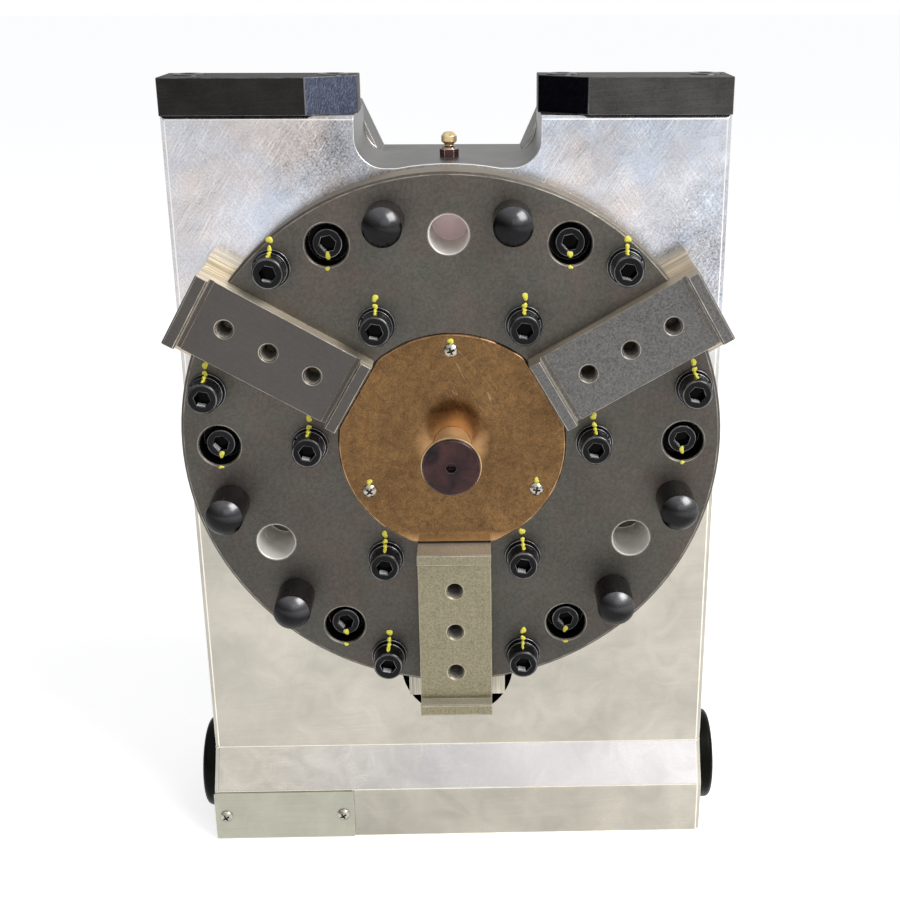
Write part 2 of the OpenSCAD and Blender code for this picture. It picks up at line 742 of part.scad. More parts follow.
module flat_washers() {
  color("#303034") gripper_frame() at_clamps() ring(washer_d / 2, (screw_d + hole_gap) / 2, washer_t);
}

// Split rings, each cut through at a slant
module spring_washers() {
  color("#2a2a2e") gripper_frame() translate([0, 0, washer_t]) at_clamps() difference() {
    ring(socket_head_d(screw_d) / 2 + 0.5, (screw_d + hole_gap) / 2, spring_washer_t);
    translate([screw_d / 2 + 2, 0, spring_washer_t / 2]) rotate([20, 0, 0])
      cube([6, 1, 3 * spring_washer_t], center = true);
  }
}

module recessed_screws() {
  color("#26262a") gripper_frame() translate([0, 0, -recess_depth]) at_recesses()
    rotate([0, 0, 12]) socket_screw(screw_d, plate_t - recess_depth + thread_depth - 1);
}

function pin_shank_r() = 0.3 * pin_d;
function pin_shank_h() = 0.75 * plate_t;

module rest_pins() {
  r = pin_d / 2;
  dome_h = pin_dome_r - sqrt(pin_dome_r * pin_dome_r - r * r);
  color("#1f1f22") gripper_frame() at_pins() {
    intersection() {
      cylinder(r = r, h = pin_h + dome_h);
      translate([0, 0, pin_h + dome_h - pin_dome_r]) sphere(r = pin_dome_r);
    }
    cylinder(r = r, h = pin_h / 2);
    translate([0, 0, -pin_shank_h()]) cylinder(r = pin_shank_r(), h = pin_shank_h() + 1);
  }
}

// Dowels across the joint between housing and plate
module locating_dowels() {
  color("silver") gripper_frame() around([sector_angles[0], sector_angles[1]])
    translate([dowel_r, 0, front_z - dowel_in_body]) cylinder(d = dowel_d, h = dowel_in_body + dowel_in_plate);
}

// ---- wedge drive ------------------------------------------------------------------

// Hollow wedge with three sloping faces, each with a T-groove along the slope
module wedge_hook() {
  far = 4 * wedge_len;
  color("#5d5f66") gripper_frame() difference() {
    translate([0, 0, wedge_rear]) ring(wedge_r, wedge_bore_r, wedge_len);
    around(jaw_angles) on_slope() {
      translate([0, -far / 2, -far / 2]) cube([far, far, far]);
      translate([-1.5 * hook_step, -neck_w / 2, -far / 2]) cube([2 * hook_step, neck_w, far]);
      translate([-2 * hook_step, -head_w / 2, -far / 2]) cube([hook_step, head_w, far]);
    }
    around(sector_angles) translate([piston_bolt_r, 0, wedge_rear - 1])
      cylinder(r = piston_bolt_d / 2 + thread_gap, h = bolt_thread + 2 + thread_end);
  }
}

module piston() {
  r = cylinder_d / 2 - 2 * run_gap;
  seal_z = piston_rear + (piston_t - seal_w) / 2;
  seat = piston_rear + piston_bolt_d + 0.5;
  color("#9aa0a6") gripper_frame() difference() {
    rotate_extrude() polygon([[0, piston_rear], [r, piston_rear], [r, seal_z], [r - seal_w, seal_z],
      [r - seal_w, seal_z + seal_w], [r, seal_z + seal_w], [r, piston_front],
      [rod_d / 2, piston_front], [rod_d / 2, wedge_rear], [0, wedge_rear]]);
    around(sector_angles) translate([piston_bolt_r, 0, piston_rear - 1]) {
      cylinder(d = socket_head_d(piston_bolt_d) + 1, h = seat - piston_rear + 1);
      cylinder(r = piston_bolt_d / 2 + thread_gap, h = wedge_rear - piston_rear + 2);
    }
  }
}

module piston_seal() {
  r = cylinder_d / 2 - run_gap;
  color("#1d1d1d") gripper_frame() translate([0, 0, piston_rear + (piston_t - seal_w) / 2])
    ring(r, cylinder_d / 2 - 2 * run_gap - seal_w, seal_w);
}

module piston_bolts() {
  seat = piston_rear + piston_bolt_d + 0.5;
  color("#26262a") gripper_frame() around(sector_angles) translate([piston_bolt_r, 0, seat])
    rotate([180, 0, 0]) socket_screw(piston_bolt_d, wedge_rear - seat + bolt_thread);
}

module rod_bush() {
  inner = rod_d / 2 + run_gap;
  color("#9c7a3c") gripper_frame() translate([0, 0, wall_rear])
    ring(inner + bush_wall, inner, cavity_floor - wall_rear - seal_len);
}

module rod_seal() {
  inner = rod_d / 2 + run_gap;
  color("#1d1d1d") gripper_frame() translate([0, 0, cavity_floor - seal_len])
    ring(inner + bush_wall, inner, seal_len);
}

// ---- rear cover -------------------------------------------------------------------

module rear_screw_places() {
  for (i = [0:rear_screw_count - 1])
    rotate([0, 0, 360 / rear_screw_count * (i + 0.5)]) translate([rear_screw_r, 0, 0]) children();
}

function rear_seal_r() = cylinder_d / 2 + 3;

module rear_seal_groove() {
  ring(rear_seal_r() + 1.5, rear_seal_r() - 1.5, 3);
}

module rear_cover() {
  color("#c4c6c8") gripper_frame() difference() {
    translate([0, 0, rear_z]) cylinder(d = rear_cover_d, h = rear_cover_t);
    rear_screw_places() {
      translate([0, 0, rear_z - 1]) cylinder(d = rear_screw_d + hole_gap, h = rear_cover_t + 2);
      translate([0, 0, rear_z - 1]) cylinder(d = socket_head_d(rear_screw_d) + 1, h = rear_screw_d + 1.3);
    }
  }
}

module rear_cover_seal() {
  color("#1d1d1d") gripper_frame() translate([0, 0, chamber_floor + 1.5])
    rotate_extrude() translate([rear_seal_r(), 0]) circle(1.5, $fn = 24);
}

module rear_cover_screws() {
  seat = rear_z + rear_screw_d + 0.3;
  color("#26262a") gripper_frame() translate([0, 0, seat]) rear_screw_places()
    rotate([180, 0, 0]) socket_screw(rear_screw_d, chamber_floor - seat + rear_thread);
}

// ---- outer fittings ---------------------------------------------------------------

// Bar on a shoulder: its inner front corner is cut back at a slant
module top_bar(side) {
  seat = socket_head_d(bar_screw_d) + 1;
  color("#2f2d2e") gripper_frame() difference() {
    mirror([side < 0 ? 1 : 0, 0, 0]) translate([0, shoulder_h + bar_h, front_z]) rotate([90, 0, 0])
      linear_extrude(bar_h) polygon([[bar_in, -bar_depth], [body_w / 2, -bar_depth], [body_w / 2, 0],
        [bar_in + bar_cut_len, 0], [bar_in, -bar_cut_depth]]);
    at_bar_screws([side]) {
      translate([0, 0, bar_screw_proud - bar_screw_d]) cylinder(d = seat, h = 2 * bar_screw_d);
      translate([0, 0, -bar_h - 1]) cylinder(d = bar_screw_d + hole_gap, h = 2 * bar_h);
    }
  }
}

module top_bar_screws() {
  sink = bar_screw_d - bar_screw_proud;
  color("#26262a") gripper_frame() at_bar_screws() translate([0, 0, -sink])
    socket_screw(bar_screw_d, bar_h - sink + bar_thread);
}

// Round cap with a rounded edge and a threaded stud into the flank
module side_cap(side) {
  r = side_cap_d / 2;
  color("#191919") gripper_frame() translate([side * body_w / 2, side_cap_y, side_cap_z])
    rotate([0, side * 90, 0]) {
      rotate_extrude() {
        square([r - side_cap_round, side_cap_h]);
        square([r, side_cap_h - side_cap_round]);
        intersection() {
          translate([r - side_cap_round, side_cap_h - side_cap_round]) circle(side_cap_round);
          square([r, side_cap_h]);
        }
      }
      translate([0, 0, -side_cap_thread]) cylinder(d = side_cap_screw_d, h = side_cap_thread + 2);
    }
}

module label_plate() {
  corner = 1;
  color("#b9b5a6") gripper_frame() difference() {
    translate([-body_w / 2, label_lift - axis_h, foot_z]) linear_extrude(label_t) {
      translate([corner, 0]) square([label_w - 2 * corner, label_h]);
      translate([0, corner]) square([label_w, label_h - 2 * corner]);
      for (x = [corner, label_w - corner], y = [corner, label_h - corner]) translate([x, y]) circle(corner);
    }
    at_label_screws() translate([0, 0, -label_t - 1])
      cylinder(r = label_screw_d / 2 + thread_gap, h = label_t + 2);
  }
}

module label_screws() {
  color("silver") gripper_frame() at_label_screws() rotate([0, 0, 30])
    pan_screw(label_screw_d, label_t + label_thread);
}

// Nipple with a hexagon, a waist and a ball head, standing in the notch
module grease_nipple() {
  hex_h = nipple_af / 2;
  neck_r = 0.28 * nipple_af;
  ball_r = 0.47 * nipple_af;
  waist = hex_h + 0.2 * nipple_af;
  ball = waist + 0.4 * nipple_af;
  color("#b59a5b") gripper_frame() translate([0, nipple_foot, nipple_z]) rotate([-90, 0, 0]) {
    cylinder(d = nipple_af / cos(30), h = hex_h, $fn = 6);
    translate([0, 0, -nipple_thread]) cylinder(d = nipple_thread_d, h = nipple_thread + 1);
    rotate_extrude() polygon([[0, 0], [ball_r, hex_h - 1], [ball_r, hex_h + 0.5], [neck_r, waist],
      [neck_r, waist + 0.5], [ball_r, ball - ball_r / 3], [ball_r, ball + ball_r / 3],
      [0.6 * ball_r, ball + 0.8 * ball_r], [0, ball + 0.8 * ball_r]]);
  }
}

// ---- the nodes --------------------------------------------------------------------

housing();
face_plate();
centre_cover();
cover_screws();
jaw(jaw_angles[0]);  // jaw_right
jaw(jaw_angles[1]);  // jaw_left
jaw(jaw_angles[2]);  // jaw_lower
plate_screws();
flat_washers();
spring_washers();
recessed_screws();
rest_pins();
plunger_stem();
plunger_flange();
plunger_cap();
plunger_sleeve();
plunger_spring();
wedge_hook();
piston();
piston_seal();
piston_bolts();
rod_bush();
rod_seal();
rear_cover();
rear_cover_seal();
rear_cover_screws();
locating_dowels();
top_bar(-1);  // top_bar_left
top_bar(1);  // top_bar_right
top_bar_screws();
side_cap(-1);  // side_cap_left
side_cap(1);  // side_cap_right
label_plate();
label_screws();
grease_nipple();
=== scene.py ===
# %% [markdown]
# # A three jaw centric gripper
# This lesson dresses a machined assembly. The solids come from CAD and stay where they are.
# Each visible one gets a copy with broken edges, because light catches every edge of a real
# part, and a finish built from shader nodes. Everything is in metres, with Z up, and the front
# faces -Y.

# %% Load the solids
import json
import math

import bmesh
import bpy
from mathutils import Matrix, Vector


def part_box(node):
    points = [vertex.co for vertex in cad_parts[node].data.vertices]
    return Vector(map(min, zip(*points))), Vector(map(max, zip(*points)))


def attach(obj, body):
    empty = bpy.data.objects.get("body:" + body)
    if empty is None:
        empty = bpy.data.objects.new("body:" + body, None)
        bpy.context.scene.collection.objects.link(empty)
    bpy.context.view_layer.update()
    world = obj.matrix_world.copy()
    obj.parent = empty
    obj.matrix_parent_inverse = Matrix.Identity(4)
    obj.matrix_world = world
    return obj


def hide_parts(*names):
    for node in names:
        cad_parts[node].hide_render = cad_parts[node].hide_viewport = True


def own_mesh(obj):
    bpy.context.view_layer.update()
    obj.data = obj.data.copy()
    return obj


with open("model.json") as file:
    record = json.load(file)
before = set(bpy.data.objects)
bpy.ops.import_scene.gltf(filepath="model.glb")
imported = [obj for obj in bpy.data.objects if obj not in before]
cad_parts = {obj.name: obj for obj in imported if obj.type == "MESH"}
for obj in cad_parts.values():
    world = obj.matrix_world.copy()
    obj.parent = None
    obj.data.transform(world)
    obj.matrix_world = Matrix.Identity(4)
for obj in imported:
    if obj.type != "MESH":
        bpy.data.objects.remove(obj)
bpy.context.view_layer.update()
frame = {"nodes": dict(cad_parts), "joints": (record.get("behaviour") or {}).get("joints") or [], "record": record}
NODES = frame["nodes"]
SLOT_OF = {row["node"]: row["material_slot"] for row in frame["record"]["subparts"]}
MM = 0.001

# %% [markdown]
# ## The camera
# The camera stands above the gripping axis and looks down on the plate by about twenty degrees,
# close enough for the jaws nearest to it to look larger. The axis is found from the round
# plate, whose top edge is half its width above it. A small sideways shift puts the gripper in
# the middle of the frame without turning the view.

# %% Camera
plate_low, plate_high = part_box("face_plate")
FACE_Y = plate_low.y
AXIS = Vector((0, FACE_Y, plate_high.z - (plate_high.x - plate_low.x) / 2))

camera_data = bpy.data.cameras.new("camera")
camera_data.lens = 53.40
camera_data.sensor_width = 36.0
camera_data.shift_x = -0.0776
camera = bpy.data.objects.new("camera", camera_data)
camera.location = AXIS + Vector((0.01299, -0.53786, 0.19086))
camera.rotation_euler = (math.radians(90 - 19.83), 0, math.radians(-1.68))
bpy.context.scene.collection.objects.link(camera)
bpy.context.scene.camera = camera
bpy.context.scene.view_settings.view_transform = "Standard"
print("gripping axis at height", round(AXIS.z, 4))
print("camera at", tuple(round(v, 4) for v in camera.location))

# %% [markdown]
# ## Writing materials as sums
# A material is a graph of nodes, and a graph soon hides its idea. `Wire` wraps one output
# socket, so that ordinary arithmetic adds the Math nodes, and `Paint` adds any other node in
# one line. A finish then reads like the sentence that describes it.

# %% A wire that can be added and multiplied
class Wire:
    """A value on its way through a material. Arithmetic on it adds Math nodes."""

    def __init__(self, paint, socket):
        self.paint = paint
        self.socket = socket

    def maths(self, operation, *terms):
        return self.paint.node("Math", {"operation": operation}, dict(enumerate(terms)))[0]

    def __add__(self, other):
        return self.maths("ADD", self, other)

    def __sub__(self, other):
        return self.maths("SUBTRACT", self, other)

    def __rsub__(self, other):
        return self.maths("SUBTRACT", other, self)

    def __mul__(self, other):
        return self.maths("MULTIPLY", self, other)

    def sin(self):
        return self.maths("SINE", self)

    def abs(self):
        return self.maths("ABSOLUTE", self)

    def most(self, other):
        return self.maths("MAXIMUM", self, other)

    def root(self):
        return self.maths("SQRT", self)

    def fit(self, low, high, to_low=0.0, to_high=1.0):
        """Maps low..high to to_low..to_high, and stops at both ends."""
        values = {"Value": self, "From Min": low, "From Max": high,
                  "To Min": to_low, "To Max": to_high}
        return self.paint.node("MapRange", {"clamp": True}, values)[0]

    __radd__ = __add__
    __rmul__ = __mul__


print("wires add, subtract, multiply and fit")


# %% A paint box for one material
class Node:
    """A node that was added, whose outputs are Wires."""

    def __init__(self, paint, node):
        self.paint = paint
        self.node = node

    def __getitem__(self, output):
        return Wire(self.paint, self.node.outputs[output])


class Paint:
    """One material in the making. Lengths in it are millimetres on the object."""

    def __init__(self, name):
        self.material = bpy.data.materials.new(name)
        self.material.use_nodes = True
        self.tree = self.material.node_tree
        self.shader = self.tree.nodes["Principled BSDF"]
        spot = self.node("TexCoord")
        self.place = spot["Object"]
        self.facing = spot["Normal"]

    def node(self, kind, settings=None, values=None):
        made = self.tree.nodes.new("ShaderNode" + kind)
        for name, value in (settings or {}).items():
            setattr(made, name, value)
        for name, value in (values or {}).items():
            self.feed(made.inputs[name], value)
        return Node(self, made)

    def feed(self, socket, value):
        if isinstance(value, Wire):
            self.tree.links.new(value.socket, socket)
        elif socket.type == "RGBA" and len(value) == 3:
            socket.default_value = (*value, 1.0)
        else:
            socket.default_value = value

    def set(self, **values):
        for name, value in values.items():
            self.feed(self.shader.inputs[name.replace("_", " ")], value)
        return self

    def mix(self, factor, low, high):
        return self.node("Mix", {"data_type": "RGBA"}, {0: factor, 6: low, 7: high})[2]

    def tinted(self, colour, by):
        """Multiplies a colour by another."""
        return self.node("Mix", {"data_type": "RGBA", "blend_type": "MULTIPLY"},
                         {0: 1.0, 6: colour, 7: by})[2]

    def shaded(self, colour, amount):
        """Makes a colour darker or lighter by a plain number's wire."""
        grey = self.node("CombineColor", {}, {0: amount, 1: amount, 2: amount})[0]
        return self.tinted(colour, grey)


print("a paint box holds one material")

# %% [markdown]
# ## Marks that every worked metal carries
# Real metal is never even. It has soft clouds where it was wiped, a fine grain from the tool,
# hairline scratches that run one way in one patch and another way in the next, and bright
# broken edges. Noise drawn out in one direction gives the scratches: where it crosses its own
# middle value, a long thin line appears.

# %% Clouds, grain and scratches
def cloud(paint, size, softness=0.16, detail=3.0, warp=0.0, seed=0.0):
    """Soft patches of the given size, from 0 to 1."""
    spread = paint.node("Mapping", {"vector_type": "TEXTURE"},
                        {"Vector": paint.place, "Location": (seed, seed, seed),
                         "Scale": (size * MM,) * 3})[0]
    noise = paint.node("TexNoise", {}, {"Vector": spread, "Scale": 1.0, "Detail": detail,
                                        "Roughness": 0.55, "Distortion": warp})[0]
    return noise.fit(0.5 - softness, 0.5 + softness)


def drawn_out(paint, along, across, turn, detail=2.0):
    """Noise stretched along the X axis, which is turned in the plane that faces the front."""
    spread = paint.node("Mapping", {"vector_type": "TEXTURE"},
                        {"Vector": paint.place, "Rotation": (0, math.radians(-turn), 0),
                         "Scale": (along * MM, across * MM, across * MM)})[0]
    return paint.node("TexNoise", {}, {"Vector": spread, "Scale": 1.0, "Detail": detail,
                                       "Roughness": 0.5})[0]


def hairlines(paint, along, across, turn, thin=0.035):
    """Long thin scratches, 1 on a scratch and 0 beside it."""
    return (drawn_out(paint, along, across, turn, 0.5) - 0.5).abs().fit(0.0, thin, 1.0, 0.0)


def arcs(paint, cell, rings):
    """Parts of fine rings, as a disc sander leaves them."""
    spread = paint.node("Mapping", {"vector_type": "TEXTURE"},
                        {"Vector": paint.place, "Scale": (cell * MM,) * 3})[0]
    far = paint.node("TexVoronoi", {"feature": "F1"}, {"Vector": spread, "Scale": 1.0})["Distance"]
    return (far * rings).sin().fit(0.55, 1.0)


print("marks: cloud, drawn_out, hairlines, arcs")


# %% Edges and walls
def carried(paint, name):
    """A number that the softened solids carry on their faces."""
    return paint.node("Attribute", {"attribute_name": name})["Fac"]


def worn_edge(paint, patchy=0.25):
    """1 on a broken edge, fading in places."""
    return carried(paint, "edge") * cloud(paint, 7.0, 0.12, seed=0.4).fit(0.0, 1.0, patchy, 1.0)


def wall(paint, axis=1, steep=0.35):
    """1 on walls, which run along an axis, and 0 on the faces that look along it."""
    parts = paint.node("SeparateXYZ", {}, {"Vector": paint.facing})
    return parts[axis].abs().fit(steep, steep + 0.25, 1.0, 0.0)


def turned_to(paint, direction, close=0.97):
    """1 on the faces that look in one direction."""
    along = paint.node("VectorMath", {"operation": "DOT_PRODUCT"},
                       {0: paint.facing, 1: direction})["Value"]
    return along.fit(close - 0.02, close)


def height(paint):
    """Height above the ground in millimetres."""
    return paint.node("SeparateXYZ", {}, {"Vector": paint.place})[2] * 1000.0


def bumped(paint, depth, strength, distance=0.05):
    """Presses a height into the surface. The distance is in millimetres."""
    bump = paint.node("Bump", {}, {"Height": depth, "Strength": strength,
                                   "Distance": distance * MM})
    paint.tree.links.new(bump[0].socket, paint.shader.inputs["Normal"])
    return paint


FINISHES = {}


def keep(name, paint):
    FINISHES[name] = paint.material
    return paint


print("edges and walls can be told apart")

# %% [markdown]
# ## Aluminium, sanded by hand
# The block is milled aluminium that was sanded and wiped. On the shoulders the sanding swirls
# cross each other, and pinkish and bluish tints and two darker patches are painted on them as
# reflections of the room. Lower down the face is smoother and a little cream. Its upward slope is
# painted lighter as a painted highlight, and the notch is painted darker as painted shade. The
# metal is fairly glossy, so the jaws' bright flanks mirror in it.

# %% Housing finish
HOUSING_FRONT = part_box("housing")[0].y + 10 * MM
SLOPE = tuple(Vector((0, -18, 10)).normalized())


REFLECTION_TINT_SPOTS = (((-84.0, 297.0), 26.0, 0.5), ((-60.0, 331.0), 17.0, -0.6),
                ((50.0, 320.0), 18.0, -0.6), ((72.0, 301.0), 12.0, -0.6))


def spot(across, up, rim, middle, radius):
    """1 at a place on the front, fading out at a radius with a ragged rim."""
    aside, above = across - middle[0], up - middle[1]
    away = (aside * aside + above * above).root() + rim * (radius * 0.4)
    return away.fit(radius * 0.3, radius * 1.2, 1.0, 0.0)


def sanded_aluminium(name, light, dark, swirl=1.0, gloss=0.20, lathe=0.0):
    paint = Paint(name)
    parts = paint.node("SeparateXYZ", {}, {"Vector": paint.place})
    across, deep, up = (parts[i] * 1000.0 for i in range(3))
    front = HOUSING_FRONT / MM
    upper = up.fit(215.0, 262.0) * deep.fit(front + 1.0, front + 3.0, 1.0, 0.3)
    rim = cloud(paint, 9.0, 0.2, 4.0, 0.6, seed=0.6)
    patches = cloud(paint, 46.0, 0.2, 2.0, 0.6)
    smears = cloud(paint, 15.0, 0.2, 4.0, 1.2, seed=0.2)
    grain = cloud(paint, 0.9, 0.25, 2.0)
    one_way = hairlines(paint, 24.0, 0.9, 58.0, 0.055) * cloud(paint, 15.0, 0.06, seed=0.1)
    other_way = hairlines(paint, 20.0, 0.8, -56.0, 0.055) * cloud(paint, 17.0, 0.06, seed=0.7)
    dark_way = hairlines(paint, 18.0, 0.8, 47.0, 0.08) * cloud(paint, 12.0, 0.06, seed=0.45)
    level = hairlines(paint, 60.0, 0.7, 4.0, 0.05) * cloud(paint, 30.0, seed=0.3)
    rings = arcs(paint, 26.0, 120.0) * cloud(paint, 12.0, 0.08, seed=0.9)
    sanding = one_way + other_way * 0.8 + rings * 0.35 - dark_way * 0.8
    marks = sanding * upper * swirl + level * 0.3
    # Painted reflection: two patches on the shoulders are made rougher and painted darker, as a dark reflection.
    dull_and_dark_reflection = (spot(across, up, rim, (-47.0, 320.0), 27.0)
            + spot(across, up, rim, (108.0, 282.0), 36.0)) * upper
    shade = (patches * 0.16 + smears * 0.16 + (grain - 0.5) * (upper * 0.22 + dull_and_dark_reflection * 0.6 + 0.05)
             + marks * 0.25 - dull_and_dark_reflection * 0.36 + 0.80)
    metal = paint.mix(cloud(paint, 60.0, 0.14, 1.0, seed=0.5), dark, light)
    # Painted reflection: the shoulders are tinted pinkish and bluish, bluer towards the right and in a few spots,
    # as reflected room light would tint them.
    bluish = (cloud(paint, 30.0, 0.12, 2.0, 0.8, seed=0.8) * 0.55
              + across.fit(-100.0, 100.0, 0.05, 0.62))
    for middle, radius, share in REFLECTION_TINT_SPOTS:
        bluish = bluish + spot(across, up, rim, middle, radius) * share
    reflection_tint = paint.mix(bluish, (1.17, 1.09, 1.07), (1.00, 1.09, 1.25))
    # Painted highlight: the upward slope is painted lighter, most at the left and also at the right. The lower
    # front is lighter towards the right and darker below 24 mm.
    slope_sheen = paint.mix(across.fit(0.0, 60.0), (0.97, 0.95, 0.96), (1.10, 1.07, 1.08))
    slope_sheen = paint.mix(across.fit(-100.0, -10.0), (1.46, 1.39, 1.24), slope_sheen)
    lower = paint.shaded((0.75, 0.72, 0.635), across.fit(-20.0, 80.0, 1.03, 1.12))
    front_and_slope_sheen = paint.mix(turned_to(paint, SLOPE), lower, slope_sheen)
    front_and_slope_sheen = paint.shaded(front_and_slope_sheen, up.fit(24.0, 27.0, 0.90, 1.0))
    colour = paint.tinted(metal, paint.mix(upper, front_and_slope_sheen, reflection_tint))
    # Painted shade: the notch faces are machined rather than sanded, and are painted dark grey as shade.
    notch = notch_faces(paint)
    milled_and_shaded = paint.shaded((0.25, 0.245, 0.24), patches * 0.25 + smears * 0.35 + 0.7)
    colour = paint.mix(notch, paint.shaded(colour, shade), milled_and_shaded)
    turned = 0.0
    if lathe:
        beside = up - AXIS.z / MM
        turned = ((across * across + beside * beside).root() * 5.2 + smears * 1.5).sin() * lathe
        colour = paint.shaded(colour, turned * 0.10 + 0.95)
    # Painted shade: the ends of the reamed holes are pinkish high up and painted dark in the lower holes.
    hole_end_shaded_low = paint.mix(up.fit(200.0, 240.0), (0.16, 0.15, 0.13), (0.80, 0.62, 0.65))
    bore = carried(paint, "reamed")
    colour = paint.mix(bore, colour, paint.mix(wall(paint), hole_end_shaded_low, (0.95, 0.93, 0.89)))
    behind_front = deep.fit(front + 2.0, front + 4.0) * across.abs().fit(50.0, 52.0, 1.0, 0.0)
    worn = worn_edge(paint, 0.75) * (1.0 - behind_front * up.fit(296.0, 300.0) * 0.85)
    colour = paint.mix(worn, colour, paint.mix(upper, (0.90, 0.86, 0.74), (0.95, 0.945, 0.92)))
    rough = (smears * 0.08 + marks * 0.05 + notch * 0.14 + dull_and_dark_reflection * 0.10
             + worn * -0.05 + bore * 0.25 + gloss)
    paint.set(Base_Color=colour, Metallic=bore * wall(paint) * -0.7 + 1.0, Roughness=rough)
    bumped(paint, marks * 0.5 + grain * 0.35 + turned, 0.20, 0.04)
    return keep(name, paint)


def notch_faces(paint):
    """1 on the machined faces inside the notch between the shoulders, which weren't sanded and are painted darker
    as painted shade.
    """
    parts = paint.node("SeparateXYZ", {}, {"Vector": paint.place})
    inside = (parts[0] * 1000.0).abs().fit(43.0, 44.0, 1.0, 0.0) * height(paint).fit(300.0, 302.0)
    return inside * wall(paint)


sanded_aluminium("housing_aluminium", (0.66, 0.65, 0.64), (0.56, 0.55, 0.54))
sanded_aluminium("rear_aluminium", (0.60, 0.60, 0.60), (0.52, 0.52, 0.52), 0.3, 0.24, lathe=1.0)
print("aluminium for the block and its rear cover")

# %% [markdown]
# ## Blackened steel plate
# The round plate is ground steel with a thin blackening, so it is a brown grey with a fine,
# even grain and a few light specks. Where the rim and the jaw slots cut through it, the ground
# metal shows brighter. It is painted lighter towards the top as painted light, and its screw
# recesses are painted near black as painted shade.

# %% Plate finish
def blackened_steel(name, colour, side, gloss=0.40):
    paint = Paint(name)
    patches = cloud(paint, 40.0, 0.2, 3.0, 0.5)
    mottle = cloud(paint, 6.0, 0.25, 4.0, 0.4, seed=0.3)
    grain = cloud(paint, 0.8, 0.25, 3.0)
    fine = hairlines(paint, 18.0, 0.5, 35.0, 0.012) * cloud(paint, 20.0, 0.05, seed=0.5)
    # Painted light: the plate is painted lighter towards the top.
    lighter_upward = height(paint).fit(110.0, 310.0, 0.96, 1.30)
    specks = cloud(paint, 1.7, 0.06, 2.0, 0.3, seed=0.8)
    shade = (patches * 0.20 + mottle * 0.20 + (grain - 0.5) * 0.32
             - specks * 0.14 + fine * 0.35 + 0.87) * lighter_upward
    tint = paint.mix(cloud(paint, 27.0, 0.12, 2.0, 0.9, seed=0.6),
                     (1.05, 0.98, 0.97), (0.95, 1.00, 0.97))
    face = paint.shaded(paint.tinted(colour, tint), shade)
    flank = paint.shaded(side, drawn_out(paint, 30.0, 0.6, 0.0) * 0.6 + 0.7)
    colour = paint.mix(wall(paint), face, flank)
    reamed = carried(paint, "reamed")
    colour = paint.mix(reamed, colour, (0.95, 0.93, 0.89))
    # Painted shade: the faces inside the screw recesses are painted near black.
    black = carried(paint, "painted_shade")
    colour = paint.mix(black, colour, (0.010, 0.010, 0.011))
    colour = paint.mix(worn_edge(paint) * (1.0 - reamed), colour, (0.34, 0.305, 0.265))
    paint.set(Base_Color=colour, Metallic=reamed * -0.6 + 0.9,
              Roughness=mottle * 0.08 + grain * 0.05 + gloss)
    bumped(paint, grain + mottle * 0.5 + fine * -0.6, 0.12, 0.04)
    return keep(name, paint)


blackened_steel("plate_steel", (0.090, 0.082, 0.073), (0.30, 0.255, 0.20))
print("plate steel")

# %% [markdown]
# ## Ground jaws
# The seats of the jaws are finely ground. Their walls are ground bare and painted lighter than
# the seats, partly as painted light from above, and the left jaw's walls, which face the light,
# are painted brightest. The grinding runs along each jaw. The tone of the seat is a number of its
# own for each jaw, and the lower jaw's inner end is painted bronze as a painted reflection.

# %% Jaw finishes
def ground_steel(name, turn, seat, flank, speckle=0.10, gloss=0.36, bronze_reflection_from=1000.0):
    paint = Paint(name)
    streaks = drawn_out(paint, 40.0, 0.35, turn)
    patches = cloud(paint, 22.0, 0.2, 3.0, 0.4)
    grain = cloud(paint, 0.7, 0.2, 3.0)
    pits = cloud(paint, 0.9, 0.08, 2.0, seed=0.7)
    shade = (patches * 0.10 + (grain - 0.5) * speckle + (pits - 0.5) * speckle * 0.35
             + (streaks - 0.5) * 0.25 + 0.95)
    face = paint.shaded(seat, shade)
    # The walls are painted in the flank colour, lighter than the seat; this is partly ground bare metal and partly
    # painted light.
    side = paint.shaded(flank, (streaks - 0.5) * 2.6 + patches * 0.15 + 0.92)
    parts = paint.node("SeparateXYZ", {}, {"Vector": paint.place})
    proud = (parts[1] * 1000.0).fit(FACE_Y / MM - 1.0, FACE_Y / MM - 0.5, 1.0, 0.0)
    ground = wall(paint).most(1.0 - proud)
    colour = paint.mix(ground, face, side)
    # Painted reflection: above the given height the jaw is painted bronze, as the cover mirrored in it.
    patchy = streaks.fit(0.35, 0.65, 0.5, 1.0)
    bronze_reflection = height(paint).fit(bronze_reflection_from, bronze_reflection_from + 1.0) * patchy
    colour = paint.mix(bronze_reflection, colour, (0.62, 0.36, 0.16))
    worn = worn_edge(paint, 0.4)
    colour = paint.mix(worn * 0.6, colour, (0.70, 0.64, 0.54))
    paint.set(Base_Color=colour, Metallic=ground * -0.35 + 0.9,
              Roughness=grain * 0.06 + patches * 0.05 + worn * -0.1 + gloss)
    bumped(paint, streaks * 1.2 + grain * speckle * 3.0, 0.12, 0.04)
    return keep(name, paint)


# Painted light: the wall colours differ from jaw to jaw, brightest on the left jaw, whose upper wall faces the
# light.
ground_steel("jaw_left", 150.0, (0.100, 0.090, 0.084), (0.86, 0.76, 0.60), 0.14)
ground_steel("jaw_right", 30.0, (0.138, 0.135, 0.130), (0.54, 0.47, 0.37), 0.62)
ground_steel("jaw_lower", 90.0, (0.262, 0.236, 0.157), (0.56, 0.52, 0.43), 0.44,
             bronze_reflection_from=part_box("jaw_lower")[1].z / MM - 2.6)
ground_steel("bare_thread", 0.0, (0.36, 0.34, 0.31), (0.42, 0.40, 0.37), 0.1, 0.26)
print("jaw steel in three tones")

